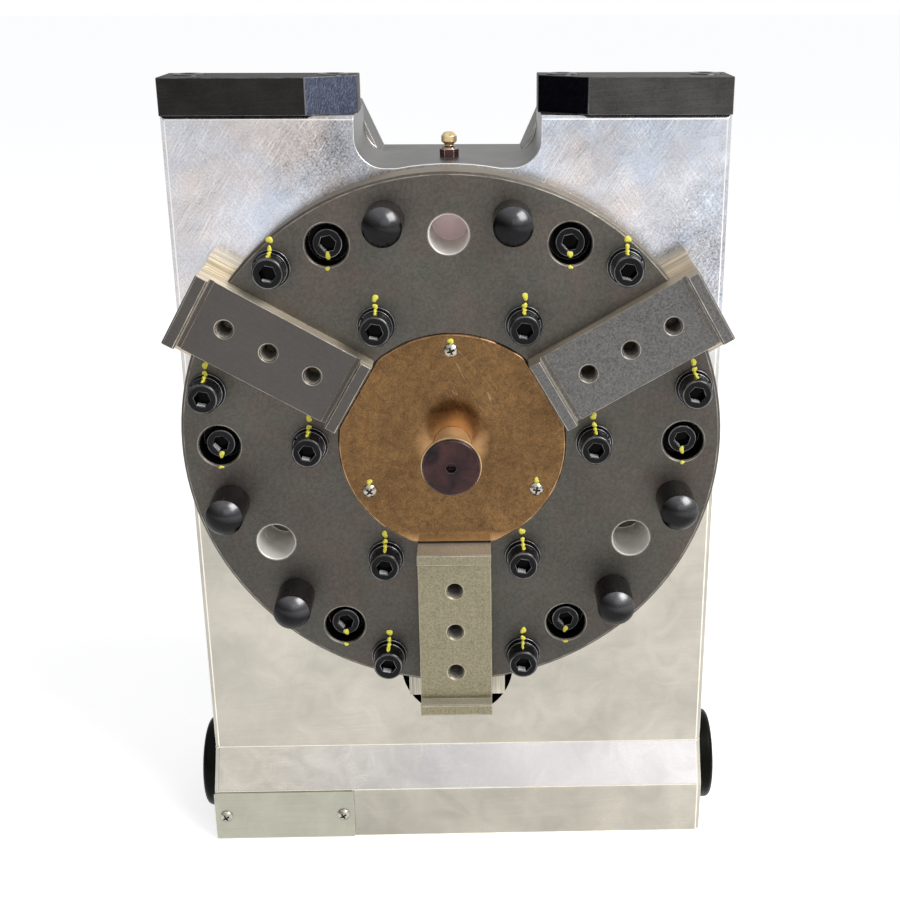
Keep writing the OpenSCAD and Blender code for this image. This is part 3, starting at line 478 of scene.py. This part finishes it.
# %% [markdown]
# ## Bronze that has browned
# The cover is bronze with a brown skin. Small dark blotches lie close together over the whole
# face, the finer grain shows the metal, and a few long parallel scratches run down from the
# top screw. Its edge is rubbed to copper. Around the stem and along its bottom edge the face is
# painted copper-bright, a painted reflection of the stem and of the lower jaw.

# %% Cover finish
COVER_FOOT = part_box("centre_cover")[0].z / MM


def browned_bronze(name):
    paint = Paint(name)
    patches = cloud(paint, 30.0, 0.22, 2.0, 0.5)
    blotches = cloud(paint, 3.2, 0.18, 4.0, 0.8, seed=0.1)
    smear = cloud(paint, 6.0, 0.2, 3.0, 0.8, seed=0.6)
    grain = cloud(paint, 0.7, 0.2, 3.0, seed=0.3)
    dots = cloud(paint, 1.3, 0.03, 0.0, seed=0.9)
    parts = paint.node("SeparateXYZ", {}, {"Vector": paint.place})
    by_screw = (parts[0] * 1000.0 - 9.0).abs().fit(6.0, 15.0, 1.0, 0.0)
    near_top = by_screw * height(paint).fit(208.0, 222.0)
    scratches = hairlines(paint, 60.0, 2.6, -56.0, 0.008) * near_top
    skin = paint.mix(patches, (0.108, 0.056, 0.019), (0.195, 0.106, 0.038))
    across, up = parts[0] * 1000.0, parts[2] * 1000.0
    beside = up - AXIS.z / MM
    # Painted reflection: around the stem and along the bottom edge the front faces are painted copper-bright.
    near_stem = (across * across + beside * beside).root() + smear * 2.0
    near_lip = up + smear * 1.5
    by_stem = near_stem.fit(9.0, 17.0, 1.0, 0.0)
    by_lip = near_lip.fit(COVER_FOOT, COVER_FOOT + 5.5, 1.0, 0.0)
    rubbed_and_painted_reflection = by_stem.most(by_lip) * wall(paint).fit(0.0, 1.0, 1.0, 0.0)
    shade = blotches * 0.55 + (grain - 0.5) * 0.8 + 0.75
    colour = paint.mix(dots * 0.2, paint.shaded(skin, shade), (0.12, 0.055, 0.02))
    colour = paint.mix(rubbed_and_painted_reflection * 0.9, colour, (0.60, 0.34, 0.15))
    colour = paint.mix(scratches * 0.4, colour, (0.60, 0.40, 0.24))
    worn = worn_edge(paint)
    colour = paint.mix(worn, colour, (0.55, 0.33, 0.18))
    paint.set(Base_Color=colour, Metallic=0.75,
              Roughness=blotches * 0.06 + grain * 0.05 + worn * -0.05 + 0.13)
    bumped(paint, grain + blotches * 0.6 + scratches * -1.5, 0.08, 0.03)
    return keep(name, paint)


browned_bronze("cover_bronze")
print("cover bronze")

# %% [markdown]
# ## Black screws, washers and pins
# Black oxide is a thin skin, so it is glossy where it was rolled and shows steel on every
# sharp edge. The rest pins are harder and smoother, and the two top bars are duller and
# brushed. Faces turned up and to the right are painted lighter as a sheen, the sockets are
# painted dark with painted glints, and the bars' cut faces are painted lit and shaded. One
# function makes all of them.

# %% Black finishes
def black_skin(name, colour, edge, gloss, metallic=1.0, brushed=0.0, grain_size=0.8,
               cut=None, painted_sheen=0.0):
    paint = Paint(name)
    patches = cloud(paint, 14.0, 0.2, 3.0, 0.4)
    grain = cloud(paint, grain_size, 0.22, 3.0)
    brush = drawn_out(paint, 12.0, 0.4, 3.0)
    shade = patches * 0.4 + grain * 0.3 + (brush - 0.5) * brushed + 0.65
    # Painted highlight: faces turned up and to the right are painted lighter, as a sheen of the light.
    if painted_sheen:
        upward = paint.node("VectorMath", {"operation": "DOT_PRODUCT"},
                            {0: paint.facing, 1: (0.30, -0.35, 0.89)})["Value"]
        shade = shade * upward.fit(0.30, 0.92, 0.45, painted_sheen)
    colour = paint.shaded(colour, shade)
    # Painted light and shade: the cut face is painted in a colour of its own, light and bluish on the left bar,
    # nearly black on the right one.
    if cut:
        towards, bare = cut
        lines = (hairlines(paint, 22.0, 0.7, 68.0, 0.07) * 0.5
                 + hairlines(paint, 18.0, 0.7, -60.0, 0.05) * 0.3)
        cut_face_lit_and_shaded = paint.shaded(bare, lines * 1.6 + grain * 0.4 + 0.5)
        colour = paint.mix(turned_to(paint, towards), colour, cut_face_lit_and_shaded)
    colour = paint.mix(worn_edge(paint, 0.3), colour, edge)
    # Painted shade and glint: inside the sockets the faces are painted near black, and those turned up towards the
    # light are painted pale and less metallic as a glint.
    painted_glint = turned_to(paint, (0.5, 0.0, 0.866), 0.8)
    socket = paint.mix(painted_glint, (0.004, 0.004, 0.004), (0.80, 0.80, 0.80))
    colour = paint.mix(carried(paint, "painted_shade"), colour, socket)
    lit = carried(paint, "painted_shade") * painted_glint
    paint.set(Base_Color=colour, Metallic=lit * -0.9 + metallic,
              Roughness=patches * 0.08 + grain * 0.06 + gloss)
    bumped(paint, grain + brush * brushed, 0.10, 0.03)
    return keep(name, paint)


BAR_CUT_DEPTH, BAR_CUT_LENGTH = 12.0, 20.0
CUT_ACROSS = BAR_CUT_DEPTH / math.hypot(BAR_CUT_DEPTH, BAR_CUT_LENGTH)
CUT_AHEAD = BAR_CUT_LENGTH / math.hypot(BAR_CUT_DEPTH, BAR_CUT_LENGTH)
black_skin("black_screws", (0.026, 0.026, 0.027), (0.17, 0.17, 0.175), 0.12, painted_sheen=1.5)
black_skin("black_washers", (0.035, 0.035, 0.037), (0.28, 0.28, 0.285), 0.16, painted_sheen=1.8)
black_skin("pin_steel", (0.040, 0.040, 0.042), (0.10, 0.10, 0.10), 0.18, painted_sheen=3.0)
black_skin("bar_left", (0.030, 0.028, 0.027), (0.16, 0.16, 0.17), 0.40, 1.0, 0.5,
           cut=((CUT_ACROSS, -CUT_AHEAD, 0), (0.085, 0.098, 0.140)))
black_skin("bar_right", (0.070, 0.068, 0.066), (0.16, 0.155, 0.15), 0.42, 1.0, 0.6,
           cut=((-CUT_ACROSS, -CUT_AHEAD, 0), (0.004, 0.004, 0.006)))
black_skin("cap_black", (0.008, 0.008, 0.007), (0.03, 0.03, 0.028), 0.36, 1.0)
print("black finishes")

# %% [markdown]
# ## The plunger's cap
# Its cap was blackened hot and has turned purple, with a dull red sheen in patches and a fine
# grain.

# %% Cap finish
paint = Paint("plunger_black")
sheen = cloud(paint, 9.0, 0.2, 2.0, 0.5, seed=0.2)
grain = cloud(paint, 0.6, 0.25, 2.0)
colour = paint.mix(sheen, (0.010, 0.008, 0.010), (0.062, 0.028, 0.027))
worn = worn_edge(paint)
colour = paint.mix(worn * 0.6, paint.shaded(colour, grain * 0.5 + 0.75), (0.16, 0.12, 0.115))
paint.set(Base_Color=colour, Metallic=0.8, Roughness=sheen * 0.1 + grain * 0.05 + 0.12)
bumped(paint, grain, 0.1, 0.03)
keep("plunger_black", paint)
print("cap finish")


# %% [markdown]
# ## Brass, copper and nickel
# The turned fittings are plain metals, told apart by colour and gloss. The fingers leave dull
# clouds on them.

# %% Turned metals
def turned_metal(name, light, dark, gloss, edge=(0.9, 0.88, 0.84), grain_size=0.6,
                 foot=None, metallic=1.0):
    paint = Paint(name)
    patches = cloud(paint, 5.0, 0.2, 3.0, 0.5)
    grain = cloud(paint, grain_size, 0.22, 2.0)
    colour = paint.shaded(paint.mix(patches, dark, light), grain * 0.25 + 0.86)
    # Below a ragged height the colour turns a dark red-brown.
    if foot:
        low, high, colour_below = foot
        ragged = height(paint) + cloud(paint, 1.6, 0.2, 2.0, seed=0.3) * 2.0
        rise = ragged.fit(low, high, 1.0, 0.0)
        colour = paint.mix(rise, colour, colour_below)
    worn = worn_edge(paint)
    # Painted shade: the slots of the small screws are painted dark.
    colour = paint.mix(carried(paint, "painted_shade"), paint.mix(worn, colour, edge),
                       (0.03, 0.028, 0.025))
    paint.set(Base_Color=colour, Metallic=metallic,
              Roughness=patches * 0.12 + grain * 0.05 + worn * -0.05 + gloss)
    bumped(paint, grain + patches, 0.08, 0.03)
    return keep(name, paint)


turned_metal("nickel_screws", (0.56, 0.52, 0.45), (0.34, 0.31, 0.26), 0.14, (0.8, 0.77, 0.7), 2.5)
turned_metal("plunger_brass", (0.86, 0.60, 0.33), (0.72, 0.46, 0.22), 0.26, (0.95, 0.75, 0.5),
             metallic=0.6)
turned_metal("sleeve_steel", (0.60, 0.60, 0.60), (0.45, 0.45, 0.45), 0.3)
turned_metal("spring_steel", (0.55, 0.55, 0.56), (0.40, 0.40, 0.42), 0.3)
turned_metal("wedge_steel", (0.42, 0.42, 0.44), (0.30, 0.30, 0.32), 0.32)
turned_metal("piston_aluminium", (0.70, 0.71, 0.72), (0.58, 0.59, 0.60), 0.3)
turned_metal("dowel_steel", (0.66, 0.66, 0.67), (0.52, 0.52, 0.53), 0.22)
turned_metal("bush_bronze", (0.52, 0.33, 0.14), (0.42, 0.25, 0.10), 0.3)
hex_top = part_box("grease_nipple")[1].z / MM - 6.0
turned_metal("nipple_brass", (0.96, 0.78, 0.44), (0.66, 0.46, 0.20), 0.14, (1.0, 0.88, 0.62),
             foot=(hex_top + 1.0, hex_top + 3.5, (0.110, 0.048, 0.052)), metallic=0.7)
print("turned metals")


# %% [markdown]
# ## Paint, rubber and the label
# The fitter marked every screw with yellow paint after tightening it. Seals are dull rubber.
# The label is thin brushed aluminium, left bare.

# %% Paint, rubber and label finishes
def dull_coat(name, light, dark, rough, size=1.4, metallic=0.0):
    paint = Paint(name)
    patches = cloud(paint, size, 0.2, 3.0)
    grain = cloud(paint, 0.35, 0.25, 2.0)
    colour = paint.shaded(paint.mix(patches, dark, light), grain * 0.16 + 0.92)
    rubbed_and_painted_reflection = [min(1.0, c * 1.5) for c in light]
    paint.set(Base_Color=paint.mix(worn_edge(paint) * 0.6, colour, rubbed_and_painted_reflection),
              Metallic=metallic, Roughness=patches * 0.1 + rough)
    bumped(paint, patches + grain * 0.4, 0.25, 0.06)
    return keep(name, paint)


dull_coat("marking_paint", (1.0, 0.95, 0.16), (0.88, 0.79, 0.07), 0.42)
dull_coat("seal_rubber", (0.020, 0.020, 0.020), (0.010, 0.010, 0.010), 0.6)

paint = Paint("label_aluminium")
brush = drawn_out(paint, 30.0, 0.35, 2.0)
patches = cloud(paint, 14.0, 0.2, 3.0, 0.6)
smears = hairlines(paint, 16.0, 1.5, 40.0, 0.02) * cloud(paint, 9.0, 0.1)
colour = paint.mix(patches, (0.405, 0.40, 0.33), (0.48, 0.475, 0.395))
colour = paint.shaded(colour, (brush - 0.5) * 0.3 + smears * 0.12 + 0.98)
paint.set(Base_Color=paint.mix(worn_edge(paint), colour, (0.70, 0.69, 0.62)), Metallic=0.85,
          Roughness=patches * 0.08 + 0.36)
bumped(paint, brush, 0.12, 0.03)
keep("label_aluminium", paint)
print("finishes:", len(FINISHES))

# %% [markdown]
# ## Where the screws stand
# One node holds all screws of a kind, so their places are read from the solids: each loose
# solid in a node has its own box. The same places tell which faces of the plate lie in the
# screw recesses, which the finish paints near black as painted shade, and which in the three
# bright reamed holes. In the screws they mark the sockets and slots, painted dark as shade too.

# %% Find each screw
def loose_boxes(name):
    """The box of each loose solid in one CAD node."""
    shell = bmesh.new()
    shell.from_mesh(NODES[name].data)
    bmesh.ops.remove_doubles(shell, verts=shell.verts, dist=1e-6)
    waiting = set(shell.verts)
    boxes = []
    while waiting:
        reached = [waiting.pop()]
        for vertex in reached:
            for edge in vertex.link_edges:
                other = edge.other_vert(vertex)
                if other in waiting:
                    waiting.remove(other)
                    reached.append(other)
        places = [v.co.copy() for v in reached]
        boxes.append([Vector([pick(p[i] for p in places) for i in range(3)])
                      for pick in (min, max)])
    shell.free()
    return sorted(boxes, key=lambda box: (round(box[0].x, 4), round(box[0].z, 4)))


def middles(name):
    return [((low.x + high.x) / 2, (low.z + high.z) / 2) for low, high in loose_boxes(name)]


PLAIN_HOLE_RING = 89.7 * MM
REAMED = [(AXIS.x + PLAIN_HOLE_RING * math.cos(math.radians(a)),
           AXIS.z + PLAIN_HOLE_RING * math.sin(math.radians(a))) for a in (90, 210, 330)]
BEHIND = FACE_Y + 0.7 * MM
# The first kind of mark is painted shade: the plate's screw recesses, the screws' sockets and the small screws'
# slots are painted dark.
HOLES = {"face_plate": (("painted_shade", middles("recessed_screws"), 9.0, BEHIND),
                        ("reamed", REAMED, 8.6, FACE_Y - MM)),
         "housing": (("reamed", REAMED, 8.6, BEHIND),)}
for name in ("cover_screws", "label_screws"):
    HOLES[name] = (("painted_shade", middles(name), 1.75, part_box(name)[0].y + 0.45 * MM),)
for name in ("plate_screws", "recessed_screws"):
    low, high = loose_boxes(name)[0]
    HOLES[name] = (("painted_shade", middles(name), 0.36 * (high.x - low.x) / MM, low.y + 0.35 * MM),)
print("holes told apart on:", sorted(HOLES))

# %% [markdown]
# ## Breaking the edges
# CAD edges are perfectly sharp, and no real edge is. Each visible solid gets a copy whose
# sharp edges are rounded by a fraction of a millimetre. The copy's loose triangles are merged
# and flat triangles dissolved first, so that an edge is one edge. The new narrow faces carry
# an attribute named edge, which the finishes read as wear.

# %% A softened copy of a solid
SHARP = math.radians(25)
CREASED = math.radians(50)


def inside_hole(face, places, radius, mouth):
    """True where a face lies in one of the holes along the gripping axis, behind their mouth."""
    return face.calc_center_median().y > mouth and any(
        all(math.hypot(v.co.x - x, v.co.z - z) < radius * MM for v in face.verts)
        for x, z in places)


def softened(name, width, finish=None, segments=2):
    """A copy of a CAD node with its sharp edges rounded by width millimetres."""
    shell = bmesh.new()
    shell.from_mesh(NODES[name].data)
    bmesh.ops.remove_doubles(shell, verts=shell.verts, dist=1e-6)
    bmesh.ops.dissolve_limit(shell, angle_limit=math.radians(0.3), verts=shell.verts,
                             edges=shell.edges)
    edge_layer = shell.faces.layers.float.new("edge")
    sharp = [e for e in shell.edges if e.is_manifold and e.calc_face_angle(0.0) > SHARP]
    made = bmesh.ops.bevel(shell, geom=sharp, offset=width * MM, offset_type="OFFSET",
                           affect="EDGES", segments=segments, profile=0.5, material=-1,
                           clamp_overlap=False, loop_slide=True)
    for face in made["faces"]:
        face[edge_layer] = 1.0
    for layer_name, places, radius, mouth in HOLES.get(name, ()):
        layer = shell.faces.layers.float.new(layer_name)
        for face in shell.faces:
            face[layer] = float(inside_hole(face, places, radius, mouth))
    for face in shell.faces:
        face.smooth = True
        face.material_index = 0
    for edge in shell.edges:
        edge.smooth = not (edge.is_manifold and edge.calc_face_angle(0.0) > CREASED)
    mesh = bpy.data.meshes.new(name + "_soft")
    shell.to_mesh(mesh)
    shell.free()
    piece = bpy.data.objects.new(name + "_soft", mesh)
    bpy.context.scene.collection.objects.link(piece)
    normals = piece.modifiers.new("even_normals", "WEIGHTED_NORMAL")
    normals.keep_sharp = True
    normals.weight = 100
    mesh.materials.append(FINISHES[finish or SLOT_OF[name]])
    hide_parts(name)
    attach(piece, BODY_OF[name])
    return piece, len(sharp)


BODY_OF = {node: body for body, nodes in frame["record"]["behaviour"]["bodies"].items()
           for node in nodes}

# %% Soften what can be seen
SOFT = {
    "housing": (0.35, None), "face_plate": (0.25, None), "centre_cover": (0.25, None),
    "jaw_left": (0.2, "jaw_left"), "jaw_right": (0.2, "jaw_right"),
    "jaw_lower": (0.2, "jaw_lower"),
    "plate_screws": (0.3, None), "recessed_screws": (0.3, None), "flat_washers": (0.28, None),
    "spring_washers": (0.3, None), "rest_pins": (0.25, None), "cover_screws": (0.06, None),
    "plunger_cap": (0.2, None), "plunger_flange": (0.12, None), "plunger_stem": (0.1, None),
    "top_bar_left": (0.3, "bar_left"), "top_bar_right": (0.3, "bar_right"),
    "top_bar_screws": (0.25, None),
    "side_cap_left": (0.15, None), "side_cap_right": (0.15, None), "label_plate": (0.12, None),
    "label_screws": (0.06, None), "grease_nipple": (0.1, None), "rear_cover": (0.3, None),
    "rear_cover_screws": (0.25, None),
}
for name, (width, finish) in SOFT.items():
    piece, count = softened(name, width, finish)
    print(f"{name}: {count} edges broken by {width} mm, {len(piece.data.polygons)} faces")

# %% Finish the hidden solids
for name, node in NODES.items():
    node.data.materials.clear()
    node.data.materials.append(FINISHES.get(SLOT_OF[name], FINISHES["jaw_lower"]))
print("hidden solids:", sorted(set(NODES) - set(SOFT)))

# %% [markdown]
# ## The plunger's spring
# The spring behind the plunger grows shorter as the plunger is pushed in. No body can do that.
# Its copy gets a mesh of its own, and the plunger's travel is read from its joint.

# %% The spring's copy and the plunger's travel
spring, _ = softened("plunger_spring", 0.1)
low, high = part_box("plunger_spring")
travel = max(next(joint for joint in frame["joints"]
                  if joint["name"] == "plunger_slide")["range_m"])
1 - travel / (high.y - low.y)
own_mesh(spring)
print("spring of", round((high.y - low.y) / MM, 1), "mm shortens by", round(travel / MM, 1))

# %% [markdown]
# ## Threads
# A tapped hole is recognised by its turns. One small triangle, spun about the hole's axis
# while it moves along it, cuts a whole thread in one operation.

# %% Spin a thread
def thread(builder, mouth, inward, radius, pitch, length):
    """Adds the turns of a thread that starts at the mouth and runs inward."""
    steps = 20
    side = inward.orthogonal().normalized()
    crest = mouth + side * (radius - 0.28 * pitch) * MM
    feet = [mouth + side * (radius + 0.02) * MM + inward * k * 0.42 * pitch * MM for k in (-1, 1)]
    corners = [builder.verts.new(p) for p in (feet[0], crest, feet[1])]
    edges = [builder.edges.new(pair) for pair in zip(corners, corners[1:])]
    turns = round(length / pitch)
    bmesh.ops.spin(builder, geom=corners + edges, cent=mouth, axis=inward,
                   dvec=inward * pitch * MM / steps, angle=2 * math.pi * turns,
                   steps=steps * turns, use_merge=False)


def finished_piece(name, builder, finish, body):
    """Turns a bmesh into a piece that rides on a body."""
    bmesh.ops.recalc_face_normals(builder, faces=builder.faces)
    mesh = bpy.data.meshes.new(name)
    for face in builder.faces:
        face.smooth = True
    builder.to_mesh(mesh)
    builder.free()
    mesh.materials.append(FINISHES[finish])
    piece = bpy.data.objects.new(name, mesh)
    bpy.context.scene.collection.objects.link(piece)
    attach(piece, body)
    return piece


MOUNTS = {row["name"]: row for row in frame["record"]["mounts"]}
JAW_SEAT = FACE_Y - 8 * MM
FIRST_TURN = 1.4 * MM


def tapped(name, mouths, inward, radius, pitch, length, body):
    """Cuts threads into holes whose mouths and radius in millimetres are given."""
    builder = bmesh.new()
    for mouth in mouths:
        thread(builder, mouth + inward * FIRST_TURN, inward, radius, pitch, length)
    piece = finished_piece(name, builder, "bare_thread", body)
    print(piece.name, len(piece.data.polygons), "faces")


for jaw in ("right", "left", "lower"):
    rows = [MOUNTS[f"jaw_{jaw}_thread_{i}"] for i in (1, 2, 3)]
    mouths = [Vector((row["pos_m"][0], JAW_SEAT, row["pos_m"][2])) for row in rows]
    tapped("thread_" + jaw, mouths, Vector((0, 1, 0)), rows[0]["dims"]["r_mm"], 1.25, 14,
           f"jaw_{jaw}_slider")
for name, pitch in (("rear_threads", 1.5), ("air_ports", 1.0)):
    row = MOUNTS[name]
    side, rise = (row["dims"].get(key, 0) / 2 * MM for key in ("spacing_x_mm", "spacing_y_mm"))
    mouths = [Vector(row["pos_m"]) + Vector((x, 0, z))
              for x in (-side, side) for z in sorted({-rise, rise})]
    tapped("thread_" + name, mouths, Vector((0, -1, 0)), row["dims"]["hole_r_mm"], pitch, 9,
           BODY_OF["housing"])

# %% [markdown]
# ## Witness marks
# After tightening a screw, the fitter dabs paint across it and the part it holds. A drop of
# paint is a ball pressed flat with an uneven rim. Each screw's own box says where it goes.

# %% Dab the paint
def dab(builder, centre, radii, seed):
    """One drop of paint, with radii across, deep and high in millimetres."""
    drop = bmesh.ops.create_icosphere(builder, subdivisions=3, radius=1.0)["verts"]
    for vertex in drop:
        around = math.atan2(vertex.co.z, vertex.co.x)
        uneven = (1 + 0.16 * math.sin(2 * around + seed * 2.1)
                  + 0.10 * math.sin(3 * around + seed * 4.7))
        x, y, z = vertex.co
        pressed = Vector((x * uneven * radii[0], y * radii[1], z * uneven * radii[2]))
        vertex.co = centre + pressed * MM


builder = bmesh.new()
drops = 0
for seed, (low, high) in enumerate(loose_boxes("plate_screws")):
    mid = Vector(((low.x + high.x) / 2, 0, (low.z + high.z) / 2))
    lean = 0.5 * math.sin(seed * 3.3)
    for across, deep, up, radii in (
        (lean * 0.8, -0.1, 11.3 + 0.4 * math.sin(seed), (1.3, 0.55, 1.55)),
        (lean * 0.3, -1.7, 8.2, (1.05, 0.6, 1.25)),
        (0.0, -3.8, 6.9, (0.9, 1.6, 0.7)),
        (-lean * 0.4, -6.6, 6.4, (0.75, 3.0 + 0.8 * math.sin(seed * 1.7), 0.4)),
    ):
        place = Vector((mid.x + across * MM, FACE_Y + deep * MM, mid.z + up * MM))
        dab(builder, place, radii, seed + deep)
        drops += 1
for seed, (low, high) in enumerate(loose_boxes("recessed_screws")):
    mid = Vector(((low.x + high.x) / 2, 0, (low.z + high.z) / 2))
    dab(builder, Vector((mid.x, low.y - 0.05 * MM, mid.z - 4.9 * MM)), (1.15, 0.5, 1.6), seed)
    dab(builder, Vector((mid.x, FACE_Y, mid.z - 9.6 * MM)), (1.1, 0.45, 0.75), seed + 0.5)
    drops += 2
for seed, (low, high) in enumerate(loose_boxes("cover_screws")):
    mid = Vector(((low.x + high.x) / 2, 0, (low.z + high.z) / 2))
    dab(builder, Vector((mid.x, FACE_Y - 1.1 * MM, mid.z + 4.0 * MM)), (1.2, 0.65, 1.3), seed)
    drops += 1
marks = finished_piece("witness_marks", builder, "marking_paint",
                       BODY_OF["face_plate"])
print("drops of paint:", drops, "faces:", len(marks.data.polygons))

# %% [markdown]
# ## Floor and light
# The floor is pale and plain. For rays from the camera, and for the ones that metal throws
# back, it also glows a little, so it reads as white and still shows the shadow. The light is a
# soft window high on the right, a wide one behind the camera, and an even room.

# %% Floor
def seen_rays(paint):
    """1 for rays from the camera and for mirrored and refracted ones."""
    rays = paint.node("LightPath")
    return rays["Is Camera Ray"].most(rays["Is Glossy Ray"]).most(rays["Is Transmission Ray"])


paint = Paint("floor_pale")
glow = paint.node("Emission", {}, {"Color": (1, 1, 1), "Strength": 0.66})
body = paint.node("BsdfDiffuse", {}, {"Color": (0.80, 0.80, 0.80)})
both = paint.node("AddShader", {}, {0: glow[0], 1: body[0]})
switch = paint.node("MixShader", {}, {0: seen_rays(paint), 1: body[0], 2: both[0]})
paint.tree.nodes.remove(paint.shader)
paint.tree.links.new(switch[0].socket, paint.tree.nodes["Material Output"].inputs["Surface"])

floor_mesh = bpy.data.meshes.new("floor")
builder = bmesh.new()
bmesh.ops.create_grid(builder, x_segments=1, y_segments=1, size=12.0)
builder.to_mesh(floor_mesh)
builder.free()
floor_mesh.materials.append(paint.material)
floor = bpy.data.objects.new("floor", floor_mesh)
bpy.context.scene.collection.objects.link(floor)
print("floor is 24 m wide")


# %% Lights
def soft_light(name, place, size, power, colour=(1, 1, 1)):
    data = bpy.data.lights.new(name, "AREA")
    data.shape = "RECTANGLE"
    data.size, data.size_y = size
    data.energy = power
    data.color = colour
    lamp = bpy.data.objects.new(name, data)
    lamp.location = place
    lamp.visible_camera = False
    lamp.rotation_euler = (AXIS - Vector(place)).to_track_quat("-Z", "Y").to_euler()
    bpy.context.scene.collection.objects.link(lamp)


soft_light("window_right", (0.85, -0.60, 1.15), (0.8, 0.8), 14, (1.0, 0.99, 0.97))
soft_light("window_front", (0.55, -1.6, 0.95), (1.4, 0.8), 2.4, (0.98, 0.99, 1.0))

# %% The room
world = bpy.data.worlds.new("studio")
world.use_nodes = True
tree = world.node_tree


def room_node(kind, **links):
    """Adds a node to the room. A link given as a socket is wired, and any other is a value."""
    made = tree.nodes.new("ShaderNode" + kind)
    for name, value in links.items():
        socket = made.inputs[int(name[1:])] if name[1:].isdigit() else made.inputs[name]
        if isinstance(value, bpy.types.NodeSocket):
            tree.links.new(value, socket)
        else:
            socket.default_value = value
    return made


rays = room_node("LightPath").outputs
direction = room_node("SeparateXYZ", Vector=room_node("TexCoord").outputs["Generated"]).outputs
leaning = room_node("Math", _0=direction["X"], _1=0.45, _2=direction["Z"])
leaning.operation = "MULTIPLY_ADD"
ceiling = room_node("MapRange", Value=leaning.outputs[0])
for name, value in (("From Min", -0.1), ("From Max", 0.7), ("To Min", 0.3), ("To Max", 1.0)):
    ceiling.inputs[name].default_value = value
even = room_node("Background", Color=(0.86, 0.87, 0.9, 1), Strength=0.45)
mirrored = room_node("Background", Color=(1, 1, 1, 1), Strength=ceiling.outputs[0])
white = room_node("Background", Color=(1, 1, 1, 1), Strength=1.0)
thrown_back = room_node("Math", _0=rays["Is Glossy Ray"], _1=rays["Is Transmission Ray"])
thrown_back.operation = "MAXIMUM"
light = room_node("MixShader", _0=thrown_back.outputs[0], _1=even.outputs[0],
                  _2=mirrored.outputs[0])
shown = room_node("MixShader", _0=rays["Is Camera Ray"], _1=light.outputs[0], _2=white.outputs[0])
tree.links.new(shown.outputs[0], tree.nodes["World Output"].inputs["Surface"])
bpy.context.scene.world = world
